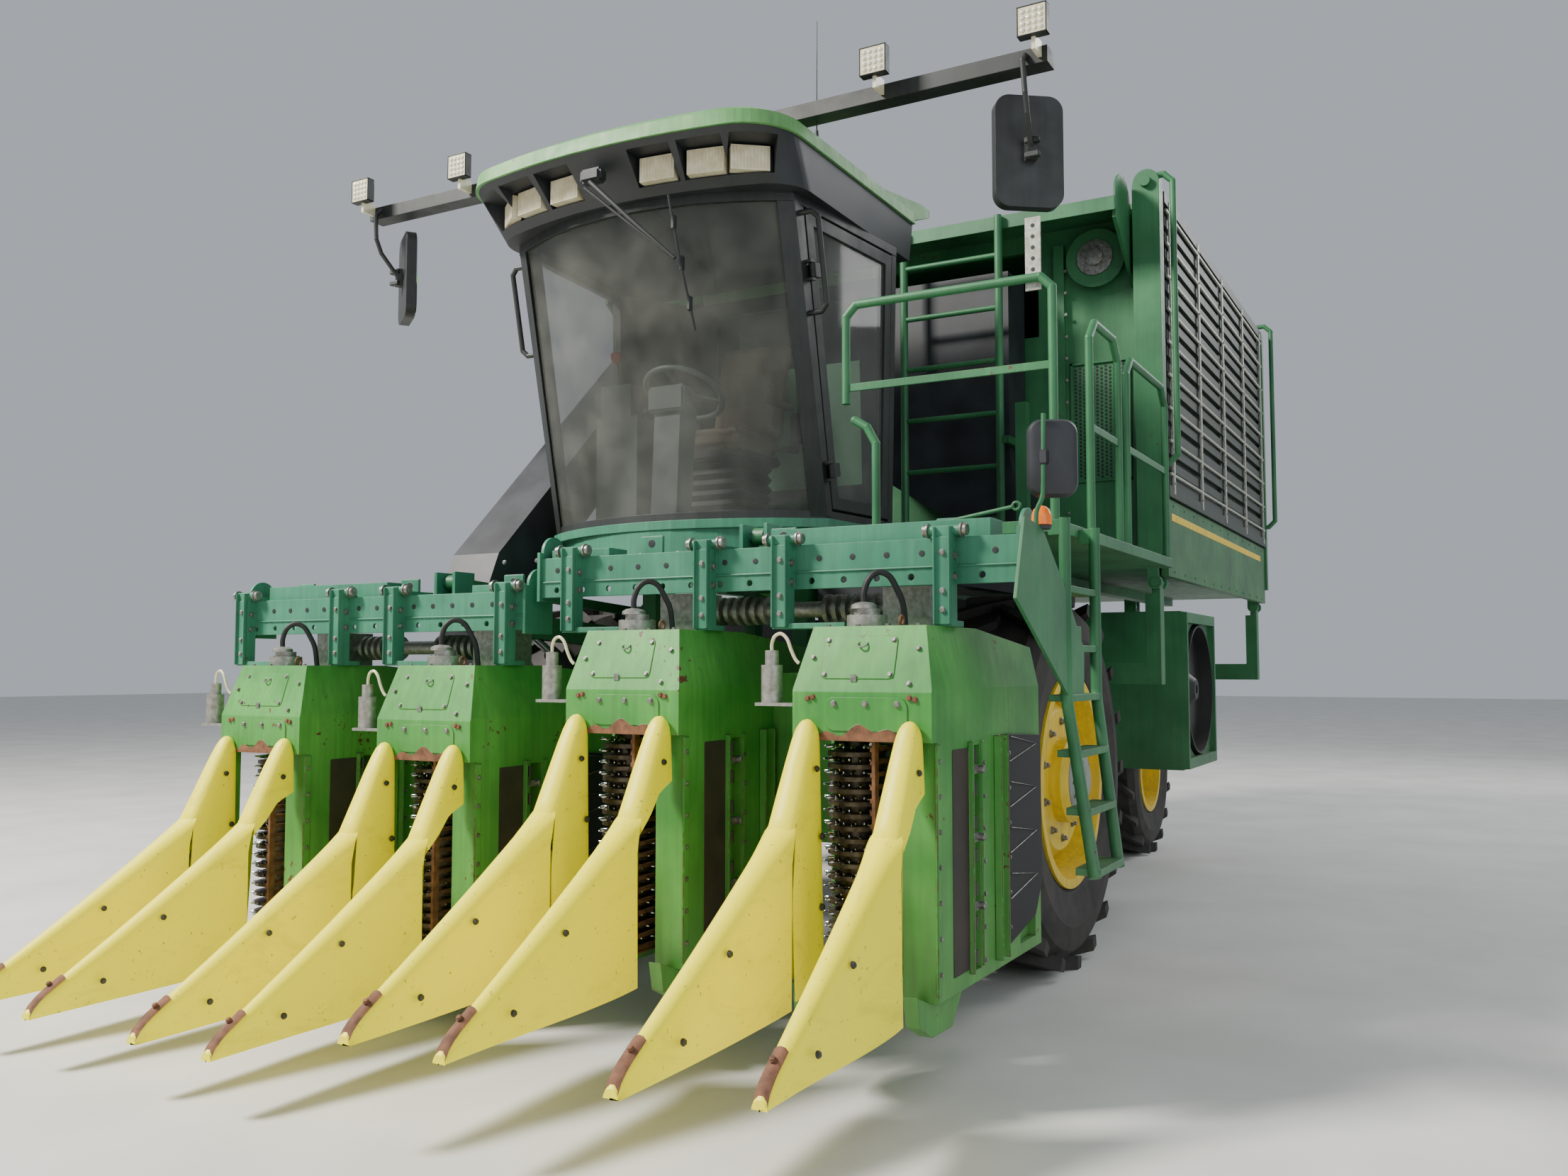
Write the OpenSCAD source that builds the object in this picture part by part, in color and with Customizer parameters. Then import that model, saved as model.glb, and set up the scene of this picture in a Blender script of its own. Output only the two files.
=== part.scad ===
// Self-propelled four-row cotton picker with a tipping basket. Millimetres.
// The origin is on the ground under the middle. +X is forward, +Y is the driver's left, +Z is up.
// Inside machine() x is counted from the front axle.

/* [Overall] */
// Front axle ahead of the origin
front_axle_x = 650; // [600:5:700]
// Distance between the axles
wheelbase = 3950; // [3850:10:4050]
// Underside of the main frame's side rails
rail_z = 1300; // [1295:5:1310]
// Hole of the tow pin at the rear
tow_hole_d = 41; // [33:1:50]
// Height of the deck that the driver stands on
deck_z = 1950; // [1945:5:1960]

/* [Wheels] */
// Radius of a front tyre over its lugs
front_tyre_r = 880; // [860:5:890]
// Width of a front tyre
front_tyre_w = 500; // [460:10:510]
// Radius of a front rim
front_rim_r = 483; // [470:1:490]
// Middle of a front wheel from the middle of the machine
front_wheel_y = 1290; // [1285:5:1300]
// Radius of a rear tyre over its lugs
rear_tyre_r = 640; // [620:5:645]
// Width of a rear tyre
rear_tyre_w = 370; // [340:10:380]
// Radius of a rear rim
rear_rim_r = 305; // [295:1:310]
// Middle of a rear wheel from the middle of the machine
rear_wheel_y = 800; // [795:5:820]
// Lugs on each side of a front tyre
front_lugs = 20; // [16:1:24]
// Lugs on each side of a rear tyre
rear_lugs = 17; // [14:1:20]
// Height of a tyre's lugs
lug_h = 42; // [30:1:50]

/* [Header] */
// Distance between two crop rows
row_spacing = 965; // [955:1:980]
// Width of a row unit
unit_w = 505; // [495:1:510]
// Length of a row unit's cabinet
unit_len = 1093; // [1040:1:1100]
// Height of a row unit's cabinet
unit_h = 1205; // [1150:5:1220]
// Length of a lift arm between its pivots
arm_len = 1420; // [1400:5:1430]
// Height that the left half's toolbar has over the lift arms' pivot
left_rise = 210; // [150:5:230]
// Height that the right half's toolbar has over the lift arms' pivot
right_rise = 80; // [60:5:140]
// Reach of the snouts' tips ahead of the toolbar's pivot
snout_reach = 1580; // [1480:10:1600]
// Radius of a picker drum
drum_r = 104; // [90:1:106]
// Spindle rings on a drum
drum_rings = 18; // [14:1:20]

/* [Cab] */
// Height of the cab's windows at their lower edge
glass_z = 2060; // [2050:5:2080]
// Height of the cab's windows at their upper edge
cab_top_z = 3420; // [3380:10:3440]
// Thickness of the cab's wall
cab_wall = 45; // [35:1:50]
// Half the width of the roof
roof_hw = 840; // [830:5:860]

/* [Basket] */
// Length of the basket
basket_len = 3400; // [3300:10:3450]
// Half the width of the basket inside its conveyor
basket_hw = 1720; // [1690:5:1725]
// Height of the basket's floor
basket_floor_z = 1950; // [1945:5:1960]
// Height of the basket's roof
basket_top_z = 4000; // [3950:5:4030]
// Thickness of the basket's walls
basket_wall = 40; // [30:1:50]
// Slats in the unloading conveyor
slats = 17; // [12:1:18]

/* [Hidden] */
$fn = 48;
// Room between pieces that move past one another
gap = 6;
green = [0.16, 0.42, 0.20];
yellow = [0.93, 0.76, 0.10];
black = [0.07, 0.07, 0.07];
steel = [0.55, 0.54, 0.52];
rust = [0.35, 0.25, 0.18];
cream = [0.82, 0.80, 0.66];

front_z = front_tyre_r;
rear_x = -wheelbase;
rear_z = rear_tyre_r;
rail_h = 180;
rail_y = 430;
rail_w = 110;
rail_top = rail_z + rail_h;

arm_pivot_x = 300;
arm_pivot_z = 1560;
arm_y = 790;
arm_w = 80;
link_up = 150;
function bar_x(rise) = arm_pivot_x + sqrt(arm_len * arm_len - rise * rise);
function bar_z(rise) = arm_pivot_z + rise;
function arm_angle(rise) = asin(rise / arm_len);
bar_back = 58;
bar_front = 208;
bar_end = 1910;

unit_front = 490;
hanger_y = [-430, 200];
// How far the ladder's foot reaches on the left and the last hanger's pin on the right
left_reach = 2115.5;
right_reach = row_spacing * 1.5 - hanger_y[0] + 60;
middle_y = (right_reach - left_reach) / 2;
unit_back = unit_front - unit_len;
unit_top = -220;
unit_bottom = unit_top - unit_h;
throat_z = -600;
drum_side = 10;
press_side = 130;
drum_x = 270;
drum_y = -115;
drum_low = unit_bottom + 45;
drum_high = throat_z - 30;

leg_in = 880;
leg_out = 1170;
leg_front = 1400;
leg_back = 1190;

basket_front = -1000;
basket_back = basket_front - basket_len;
tip_y = basket_hw - 20;
tip_z = 1870;
tip_pin_y = 800;
tip_pin_z = 1890;
tip_base_y = 1100;
tip_base_z = 1300;
tip_x = [-1130, -4140];
basket_posts = [-1060, -4300];
overhang_y = basket_hw - 110;

kingpin_y = 560;
screen_x = -2000;
screen_z = 1280;
screen_r = 385;

deck_h = 45;
cab_floor_h = 70;
quarter_x = 480;
door_x = 520;
post_low = 1060;
post_high = 1365;
post_hw = 745;
post_w = 54;
roof_back = 270;
roof_z = 180;
roof_h = 292;
bar_z0 = cab_top_z + 337;

module machine() translate([front_axle_x, middle_y, 0]) children();
module box(x, y, z) translate([x[0], y[0], z[0]]) cube([x[1] - x[0], y[1] - y[0], z[1] - z[0]]);
module both() { children(); mirror([0, 1, 0]) children(); }
module on_side(side) { if (side > 0) children(); else mirror([0, 1, 0]) children(); }
module along_y(x, z, y0, y1, d) translate([x, y0, z]) rotate([-90, 0, 0]) cylinder(d = d, h = y1 - y0);
module along_x(y, z, x0, x1, d) translate([x0, y, z]) rotate([0, 90, 0]) cylinder(d = d, h = x1 - x0);
module upright(x, y, z0, z1, d) translate([x, y, z0]) cylinder(d = d, h = z1 - z0);
// A side view, drawn in x and z, given width from y0 to y1
module side_plate(y0, y1) translate([0, y1, 0]) rotate([90, 0, 0]) linear_extrude(y1 - y0) children();
// A front view, drawn in y and z, given length from x0 to x1
module front_plate(x0, x1) translate([x0, 0, 0]) rotate([90, 0, 90]) linear_extrude(x1 - x0) children();
// A round bar between two points
module rod(p, q, d) {
    v = q - p;
    translate(p) rotate([0, acos(v[2] / norm(v)), atan2(v[1], v[0])]) cylinder(d = d, h = norm(v));
}
// A pipe through a list of points, with its corners cut off short by c
function unit(v) = v / norm(v);
function cut_corners(points, c) = let (last = len(points) - 1) [
    points[0],
    for (i = [1 : last - 1], side = [-1, 1]) points[i] + unit(points[i + side] - points[i]) * c,
    points[last]];
module pipe(points, d, c = 45) {
    way = cut_corners(points, c);
    for (i = [0 : len(way) - 2]) rod(way[i], way[i + 1], d);
    for (i = [1 : len(way) - 2]) translate(way[i]) sphere(d = d * 1.03, $fn = 24);
}
module rounded(w, h, r) {
    translate([r, 0]) square([w - 2 * r, h]);
    translate([0, r]) square([w, h - 2 * r]);
    for (p = [[r, r], [w - r, r], [r, h - r], [w - r, h - r]]) translate(p) circle(r);
}

// Frame and axles

module main_frame() machine() color(green) {
    both() box([basket_back + 60, 760], [rail_y - rail_w / 2, rail_y + rail_w / 2], [rail_z, rail_top]);
    for (x = [640, -620, -1080, -2700, -4310]) box([x, x + 110], [-rail_y, rail_y],
        [rail_z + 20, rail_top - 20]);
    // Front axle's hangers
    both() box([-90, 90], [rail_y - 50, rail_y + 50], [front_z + 110, rail_z + 10]);
    // Rear axle's pivot post
    box([rear_x - 90, rear_x + 90], [-150, 150], [rear_z + 250.3, rail_z + 60]);
    both() box([rear_x - 90, rear_x + 90], [140, rail_y], [rail_z + 20, rail_top - 20]);
    // Lift arms' pivot tube and its brackets
    both() box([arm_pivot_x - 60, arm_pivot_x + 60], [rail_y - 45, rail_y + 45],
        [rail_top - 10, arm_pivot_z + link_up - 30]);
    both() box([arm_pivot_x - 45, arm_pivot_x + 45], [rail_y, arm_y - arm_w / 2 - gap],
        [arm_pivot_z - 45, arm_pivot_z + 45]);
    both() box([arm_pivot_x - 45, arm_pivot_x + 45], [rail_y, arm_y - arm_w / 2 - gap],
        [arm_pivot_z + link_up - 40, arm_pivot_z + link_up + 40]);
    both() along_y(arm_pivot_x, arm_pivot_z, arm_y - arm_w / 2 - gap - 1, arm_y + arm_w / 2 + gap, 59);
    both() along_y(arm_pivot_x, arm_pivot_z + link_up, arm_y - arm_w / 2 - gap - 1,
        arm_y + arm_w / 2 + gap, 39);
    // Lift cylinders' lower brackets
    both() box([330, 430], [rail_y + 40, arm_y - 45], [1060, 1160]);
    both() box([330, 430], [rail_y - 50, rail_y + 50], [1060, rail_z + 10]);
    both() along_y(380, 1110, arm_y - 50, arm_y + 50, 39);
    // Posts that carry the cab and the deck
    both() for (post = [[-350, deck_z - deck_h], [640, deck_z - cab_floor_h]])
        box([post[0], post[0] + 80], [rail_y - 40, rail_y + 40], [rail_top - 10, post[1] - 0.3]);
    // Posts and bearings that carry the basket
    for (x = basket_posts) {
        box([x, x + 90], [-1560, tip_y + 20], [rail_top - 160, rail_top - 40]);
        box([x, x + 90], [tip_y - 60, tip_y + 20], [rail_top - 160, tip_z - 60]);
        box([x, x + 90], [-1560, -1470], [rail_top - 60, basket_floor_z - gap]);
        box([x, x + 90], [tip_y - 24, tip_y + 20], [tip_z - 62, tip_z]);
        along_x(tip_y, tip_z, x - 42, x + 132, 49);
    }
    // Tipping cylinders' lower pins
    along_x(tip_base_y, tip_base_z, tip_x[0] - 45, basket_posts[0] + 1, 49);
    along_x(tip_base_y, tip_base_z, basket_posts[1] + 89, tip_x[1] + 45, 49);
    for (x = basket_posts) box([x, x + 90], [tip_base_y - 60, tip_base_y + 60],
        [tip_base_z - 60, rail_top - 150]);
    // Tow plate with its pin hole
    difference() {
        box([basket_back - 30, basket_back + 100], [-70, 70], [rail_z + 30, rail_z + 70]);
        upright(basket_back + 25, 0, rail_z, rail_z + 100, tow_hole_d);
    }
    // Open rack beside the engine
    for (z = [860, 1130, 1400]) box([-1575, -1525], [rail_y + 40, 940], [z, z + 60]);
    for (y = [rail_y + 20, 880]) box([-1575, -1525], [y, y + 60], [860, rail_z + 150]);
}
module front_axle() machine() color(green) {
    along_y(0, front_z, -1000, 1000, 220);
    both() along_y(0, front_z, 900, 1030, 400);
    both() along_y(0, front_z, 1020, front_wheel_y + 200, 239.8);
    box([-170, 170], [-260, 260], [front_z - 190, front_z + 160]);
}

module rear_axle() machine() color(green) {
    difference() {
        box([rear_x - 80, rear_x + 80], [-520, 520], [rear_z + 60, rear_z + 220]);
        both() box([rear_x - 100, rear_x - 30], [430, 530], [rear_z, rear_z + 300]);
    }
    box([rear_x - 70, rear_x + 70], [-120, 120], [rear_z + 200, rear_z + 250]);
    both() difference() {
        box([rear_x - 28, rear_x + 80], [440, kingpin_y + 55], [rear_z + 60, rear_z + 220]);
        upright(rear_x, kingpin_y, rear_z, rear_z + 300, 80);
    }
}

module knuckle(side) machine() on_side(side) color(green) {
    upright(rear_x, kingpin_y, rear_z - 40, rear_z + 260, 79);
    upright(rear_x, kingpin_y, rear_z - 60, rear_z + 54, 130);
    upright(rear_x, kingpin_y, rear_z + 226, rear_z + 262, 130);
    along_y(rear_x, rear_z, kingpin_y, rear_wheel_y - 62, 100);
    along_y(rear_x, rear_z, rear_wheel_y - 100, rear_wheel_y + 60, 79);
    // Steering arm
    box([rear_x - 240, rear_x], [kingpin_y - 40, kingpin_y + 10], [rear_z - 55, rear_z - 20]);
}

module engine_block() machine() color(steel) {
    box([-2560, -1330], [-300, 300], [1060, 1850]);
    // Mounts on the rails
    both() for (x = [-2450, -1530]) box([x, x + 90], [290, rail_y - rail_w / 2 - 0.3],
        [rail_z + 40, rail_z + 120]);
}

module cooling_box() machine() color(green) {
    difference() {
        box([screen_x - 420, screen_x + 420], [rail_y + rail_w / 2, 1700], [820, 1740]);
        along_y(screen_x, screen_z, 1500, 1800, 800);
    }
    along_y(screen_x, screen_z, 1480, 1690, 58);
    // Frame of bars around the screen's side
    for (z = [screen_z - screen_r - 68, screen_z + screen_r + 8])
        box([screen_x - 420, screen_x + 420], [1699, 1735], [z, z + 60]);
    for (x = [screen_x - 420, screen_x + screen_r + 8]) box([x, x + 27], [1699, 1735], [830, 1720]);
}

module rotary_screen() machine() color(black) translate([screen_x, 0, screen_z]) rotate([-90, 0, 0])
    rotate_extrude($fn = 64) polygon([
        [29.5, 1540], [screen_r, 1540], [screen_r, 1722], [screen_r - 10, 1722], [screen_r - 10, 1640],
            [110, 1640],
        [60, 1700], [29.5, 1700]]);

module fluid_tanks() machine() color(black) {
    translate([-3020, -1640, 860]) linear_extrude(870) rounded(1500, 960, 90);
    box([-2900, -1700], [-700, -rail_y - rail_w / 2 - 0.3], [rail_z + 20, rail_top - 30]);
    color(green) for (x = [-2920, -1720]) box([x, x + 60], [-1650, -rail_y - 40], [800, 860]);
    color(green) for (x = [-2920, -1720]) box([x, x + 60], [-560, -rail_y - rail_w / 2 - 0.3],
        [800, rail_z + 120]);
}

// Wheels

// A lugged tyre on the Y axis: carcass outline by half width and radius, then the lugs
module tyre(r, w, rim, lugs) color(black) {
    crown = r - lug_h;
    rotate([-90, 0, 0]) rotate_extrude($fn = 72) polygon([
        [rim, -w * 0.40], [rim + 45, -w * 0.44], [crown - (crown - rim) * 0.45, -w / 2],
        [crown - 55, -w * 0.47], [crown, -w * 0.36], [crown, w * 0.36],
        [crown - 55, w * 0.47], [crown - (crown - rim) * 0.45, w / 2],
        [rim + 45, w * 0.44], [rim, w * 0.40]]);
    pitch = 360 / lugs;
    run = r * 0.13;
    lug_w = r * 0.065;
    intersection() {
        rotate([-90, 0, 0]) cylinder(r = r, h = w, center = true, $fn = 72);
        for (side = [-1, 1], i = [0 : lugs - 1]) rotate([0, (i + (side > 0 ? 0.5 : 0)) * pitch, 0])
            translate([0, 0, crown - 28]) linear_extrude(lug_h + 40) polygon([
                [-run, -side * w * 0.03], [lug_w - run, -side * w * 0.03],
                [run + lug_w, side * w * 0.48], [run, side * w * 0.48]]);
    }
}

// A front wheel's rim, dish and hub on the Y axis, with +Y outside
module front_rim() color(yellow) {
    w = front_tyre_w;
    rotate([-90, 0, 0]) rotate_extrude($fn = 72) polygon([
        [front_rim_r, -w * 0.42], [front_rim_r + 22, -w * 0.42], [front_rim_r + 22, -w * 0.45],
        [front_rim_r - 20, -w * 0.45], [front_rim_r - 40, -w * 0.1], [front_rim_r - 60, -w * 0.02],
        [330, 150], [200, 150], [200, -w * 0.45], [120, -w * 0.45], [120, 206], [0, 206], [0, 250],
            [170, 250],
        [200, 220], [200, 166], [330, 166], [front_rim_r - 45, w * 0.06],
        [front_rim_r - 20, w * 0.45], [front_rim_r + 22, w * 0.45],
        [front_rim_r + 22, w * 0.42], [front_rim_r, w * 0.42]]);
}

module rear_rim() color(yellow) {
    w = rear_tyre_w;
    rotate([-90, 0, 0]) rotate_extrude($fn = 60) polygon([
        [rear_rim_r, -w * 0.42], [rear_rim_r + 18, -w * 0.42], [rear_rim_r + 18, -w * 0.45],
        [rear_rim_r - 18, -w * 0.45], [rear_rim_r - 35, -20], [150, 10], [100, 10],
        [100, -55], [39.55, -55], [39.55, 65], [80, 80], [100, 60], [100, 24], [150, 24],
        [rear_rim_r - 30, 0], [rear_rim_r - 18, w * 0.45], [rear_rim_r + 18, w * 0.45],
        [rear_rim_r + 18, w * 0.42], [rear_rim_r, w * 0.42]]);
}

module front_wheel_at(side) machine() on_side(side) translate([0, front_wheel_y, front_z]) children();
module rear_wheel_at(side) machine() on_side(side) translate([rear_x, rear_wheel_y, rear_z]) children();
module front_tyre(side) front_wheel_at(side) tyre(front_tyre_r, front_tyre_w, front_rim_r + 0.5,
    front_lugs);
module rear_tyre(side) rear_wheel_at(side) tyre(rear_tyre_r, rear_tyre_w, rear_rim_r + 0.5, rear_lugs);

// Deck, rails and ladder

module rail_loop(x, y0, y1, z0, z1) {
    pipe([[x, y0 + 130, deck_z - 20], [x, y0 + 130, z0 + 10], [x, y0, z0 + 90], [x, y0, z1], [x, y1, z1],
          [x, y1, deck_z - 20]], 34);
    box([x - 5, x + 5], [y0, y1], [z0 + 185, z0 + 215]);
}
// Rail along the deck's outer edge, with a middle bar
module edge_rail(x0, x1, top) {
    pipe([[x0, 1880, deck_z - 20], [x0, 1880, top], [x1, 1880, top], [x1, 1880, deck_z - 20]], 34, 80);
    box([x0, x1], [1875, 1885], [2365, 2395]);
}

module platform() machine() color(green) {
    box([-450, 1480], [arm_y + 75, 1900], [deck_z - deck_h, deck_z]);
    box([-450, -60.3], [-720, arm_y + 80], [deck_z - deck_h, deck_z]);
    rail_loop(1440, 1030, 1880, 2330, 2865);
    edge_rail(500, 950, 2820);
    edge_rail(-410, 360, 2790);
    // Post beside the basket
    box([-440, -380], [1120, 1180], [deck_z - 20, 2800]);
}

ladder_top = [1191, 1578];
ladder_low = [1454, 1757];
module access_ladder() machine() color(green) {
    // Side plate beside the toolbar's end
    side_plate(1955, 1967) polygon([[2050, 1895], [1875, 1880], [1627, 1695], [1392, 1477],
        [1400, 1315], [1578, 1303], [2143, 1628]]);
    box([1400, 1480], [1890, 1960], [1480, 1560]);
    for (i = [0, 1]) {
        pipe([[ladder_top[i], 1955, 1940], [ladder_top[i], 1955, 1303], [ladder_low[i], 2095, 715]], 42,
            20);
        // Bracket on the deck's edge
        box([ladder_top[i] - 15, ladder_top[i] + 15], [1900.3, 1950], [1880, 1935]);
    }
    for (i = [0 : 3]) {
        t = i / 3;
        x = ladder_top + (ladder_low - ladder_top) * t;
        y = 1955 + t * 140;
        z = 1303 - t * 570;
        box(x, [y - 65, y + 19], [z - 12, z + 12]);
    }
    for (z = [1480, 1690]) box(ladder_top, [1890, 1965], [z - 12, z + 12]);
}

// Cab

// One level of the cab: outline by rear x, rear half width, post x, post half width, front bow
function bow(px, hw, s, n) = let (r = (hw * hw + s * s) / (2 * s), a = asin(hw / r))
    [for (i = [0 : n]) let (t = a - 2 * a * i / n) [px + s - r + r * cos(t), r * sin(t)]];
module cab_outline(rx, rhw, mx, mhw, px, phw, s)
    polygon(concat([[rx, -rhw], [mx, -mhw]], [for (p = bow(px, phw, s, 14)) [p[0], -p[1]]],
        [[mx, mhw], [rx, rhw]]));
module cab_hull(inset, z0, z1) hull() {
    translate([0, 0, z0]) linear_extrude(1) sill_plan(inset);
    translate([0, 0, z1 - 1]) linear_extrude(1) top_plan(inset);
}
// Rear edge of a front post, seen from the side
function post_rear(z) = post_low - post_w
    + (post_high - post_low - 26) * (z - glass_z - 10) / (cab_top_z - glass_z - 20);
// The side window's outline from the side, let out or in by grow
module door_shape(grow) let (z0 = glass_z + 42, z1 = cab_top_z - 46) offset(delta = grow)
    polygon([[door_x, z0], [post_rear(z0) - 0.5, z0], [post_rear(z1) - 0.5, z1], [door_x, z1]]);
module sill_plan(inset) offset(delta = -inset) cab_outline(0, 560, quarter_x, 800, post_low, post_hw, 260);
module top_plan(inset) offset(delta = -inset) cab_outline(50, 590, quarter_x, 829, post_high, post_hw, 215);

module cab_base() machine() color(green) {
    difference() {
        translate([0, 0, deck_z - cab_floor_h]) linear_extrude(glass_z - deck_z + cab_floor_h - 0.3)
            cab_outline(-60, 560, quarter_x, 700, post_low, 700, 280);
        translate([0, 0, deck_z]) linear_extrude(200)
            cab_outline(0, 500, quarter_x, 650, post_low - 60, 640, 270);
    }
    translate([0, 0, glass_z - 40]) linear_extrude(39.7) difference() {
        cab_outline(-10, 575, quarter_x, 815, post_low + 5, 760, 280);
        cab_outline(40, 500, quarter_x, 640, post_low - 60, 630, 270);
    }
}

// Door's hinge line, from its lower to its upper end
hinge_low = [1025, 771, 2120];
hinge_run = [259, 1, 1240];
hinges = [0.12, 0.80];
module hinge_at(t) translate(hinge_low + hinge_run * t)
    rotate([0, acos(hinge_run[2] / norm(hinge_run)), atan2(hinge_run[1], hinge_run[0])]) children();

module cab_frame() machine() color(black) {
    // Ring under the windows and ring over them
    translate([0, 0, glass_z]) linear_extrude(35.7) difference() {
        sill_plan(0);
        sill_plan(cab_wall);
    }
    translate([0, 0, cab_top_z - 40.7]) linear_extrude(40.7) difference() {
        top_plan(0);
        top_plan(cab_wall);
    }
    // Front posts, which follow the windscreen's bow
    both() hull() {
        translate([post_low, post_hw, glass_z + 10]) linear_extrude(1)
            polygon([[-post_w, -57], [-post_w, 4], [-2, 4], [42, -57]]);
        translate([post_high, post_hw, cab_top_z - 11]) linear_extrude(1)
            polygon([[-post_w - 26, -62], [-post_w - 26, 4], [-2, 4], [37, -62]]);
    }
    // Rear quarters, with the posts behind the doors
    both() hull() {
        translate([0, 0, glass_z + 10]) linear_extrude(1)
            polygon([[1, 560], [quarter_x, 799], [door_x, 795], [door_x, 745], [30, 510]]);
        translate([0, 0, cab_top_z - 11]) linear_extrude(1)
            polygon([[51, 590], [quarter_x, 828], [door_x, 824], [door_x, 774], [80, 540]]);
    }
    // Rear wall with its window
    difference() {
        side_plate(-556, 556) polygon([[1, glass_z + 5], [46, glass_z + 5], [96, cab_top_z - 5],
            [51, cab_top_z - 5]]);
        box([-100, 200], [-440, 440], [glass_z + 300, cab_top_z - 80]);
    }
    // Pins and plates of the door's hinges
    for (t = hinges) hinge_at(t) {
        translate([0, 0, -44]) cylinder(d = 13.6, h = 88);
        for (z = [-44, 32]) translate([-8, -32, z]) cube([38, 40, 12]);
    }
    // Grab handles beside the windscreen
    both() pipe([[1313, post_hw, 3340], [1313, 835, 3340], [1222, 835, 2930], [1222, post_hw, 2930]],
        24, 28);
}

module cab_shell(inner, outer) difference() {
    cab_hull(inner, glass_z, cab_top_z);
    cab_hull(outer, glass_z - 5, cab_top_z + 5);
}
module cab_glass() machine() color([0.6, 0.75, 0.8]) {
    // Windscreen
    intersection() {
        cab_shell(12, 20);
        hull() {
            box([post_low, post_low + 500], [58 - post_hw, post_hw - 58], [glass_z + 36, glass_z + 37]);
            box([post_high, post_high + 500], [63 - post_hw, post_hw - 63],
                [cab_top_z - 42, cab_top_z - 41]);
        }
    }
    // Right window
    intersection() {
        cab_shell(12, 20);
        side_plate(-1100, -500) door_shape(-0.3);
    }
    // Rear window
    side_plate(-439.7, 439.7) polygon([[30, glass_z + 300.3], [37, glass_z + 300.3],
        [73, cab_top_z - 80.3], [66, cab_top_z - 80.3]]);
}

module cab_door() machine() color(black) {
    intersection() {
        cab_shell(0, 30);
        side_plate(500, 1100) difference() {
            door_shape(-gap);
            door_shape(-60);
        }
    }
    for (t = hinges) hinge_at(t) difference() {
        union() {
            translate([0, 0, -30]) cylinder(d = 30, h = 60);
            translate([-16, -6, -30]) cube([16, 16, 60]);
            translate([-62, -28, -30]) cube([47, 38, 60]);
        }
        translate([0, 0, -31]) cylinder(d = 14.4, h = 62);
    }
}

module door_glass() machine() color([0.6, 0.75, 0.8]) intersection() {
    cab_shell(12, 20);
    side_plate(500, 1100) door_shape(-60.2);
}

// Plan of the roof, or of the visor's lower edge: straight sides, bowed front with round corners
module roof_outline(hw, x, s, r, inset) {
    offset(r = r) offset(delta = -r - inset)
        polygon(concat([[roof_back, -hw]], [for (p = bow(x, hw, s, 14)) [p[0], -p[1]]], [[roof_back, hw]]));
    translate([roof_back + inset, inset - hw]) square([x - 2 * r - roof_back - inset, 2 * (hw - inset)]);
}
module roof_plan(inset) roof_outline(roof_hw, 1675, 110, 260, inset);
module cab_roof() machine() color(green) {
    hull() for (level = [[roof_z, 0], [roof_z + 60, 8], [roof_h - 18, 60], [roof_h - 1, 200]])
        translate([0, 0, cab_top_z + level[0]]) linear_extrude(1) roof_plan(level[1]);
    // Hood over the air intake behind the roof, and the wall under it
    translate([0, 0, cab_top_z]) side_plate(60 - roof_hw, roof_hw - 60)
        polygon([[760, 250], [40, 362], [-60, 362], [-60, 325], [240, 215], [760, 215]]);
    box([52, 90], [-520, 520], [cab_top_z + 0.3, cab_top_z + 300]);
}
// Lamps in the visor: side distance, turn to the side and x of the visor's front there
lamp_seats = [[250, 6, 1677], [475, 12, 1645], [665, 38, 1575]];
module lamp_at(seat) translate([seat[2], seat[0], cab_top_z + 95]) rotate([0, 0, seat[1]]) children();
module cab_visor() machine() color(black) difference() {
    hull() {
        translate([0, 0, cab_top_z]) linear_extrude(1) roof_outline(805, 1450, 155, 200, 0);
        translate([0, 0, cab_top_z + roof_z - 1.5]) linear_extrude(1) roof_plan(12);
    }
    both() for (seat = lamp_seats) lamp_at(seat) translate([-70, -100, -62]) cube([260, 200, 124]);
}

module work_lamps() machine() {
    color(cream) both() for (seat = lamp_seats) lamp_at(seat) translate([-69.7, -82, -52])
        cube([45, 164, 104]);
    // Square lamps on brackets ahead of the bar
    color(cream) both() for (y = [1130, 1800]) {
        box([1355, 1395], [y - 55, y + 55], [bar_z0 + 73, bar_z0 + 183]);
        box([1295.3, 1375], [y - 8, y + 8], [bar_z0 + 20, bar_z0 + 80]);
    }
}

module operator_seat() machine() color([0.3, 0.28, 0.25]) {
    box([480, 930], [-230, 230], [2440, 2540]);
    translate([470, 0, 2530]) rotate([0, -12, 0]) box([-60, 50], [-220, 220], [0, 560]);
    box([540, 860], [-170, 170], [2180, 2440]);
    box([500, 900], [-200, 200], [deck_z, 2060]);
    box([620, 780], [-60, 60], [2060, 2180]);
    for (y = [-310, 250]) box([480, 840], [y, y + 60], [2660, 2720]);
    for (y = [-310, 250]) box([470, 520], [y, y + 60], [2480, 2661]);
    for (y = [-300, 200]) box([470, 520], [y, y + 100], [2480, 2520]);
}

module cab_controls() machine() color([0.25, 0.26, 0.26]) {
    // Steering column and wheel
    side_plate(-70, 70) polygon([[1120, deck_z], [1235, deck_z], [1200, 2560], [1120, 2640], [1060, 2600]]);
    translate([1060, 0, 2690]) rotate([0, -28, 0]) {
        rotate_extrude($fn = 48) translate([185, 0]) circle(14, $fn = 20);
        cylinder(r = 45, h = 30, center = true);
        for (a = [0, 120, 240]) rotate([0, 0, a]) translate([30, -12, -6]) cube([150, 24, 12]);
        translate([0, 0, -110]) cylinder(r = 22, h = 110);
    }
    // Console to the right of the seat
    box([420, 960], [-585, -340], [deck_z, 2640]);
    box([900, 960], [-560, -380], [2639, 2800]);
}

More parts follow.
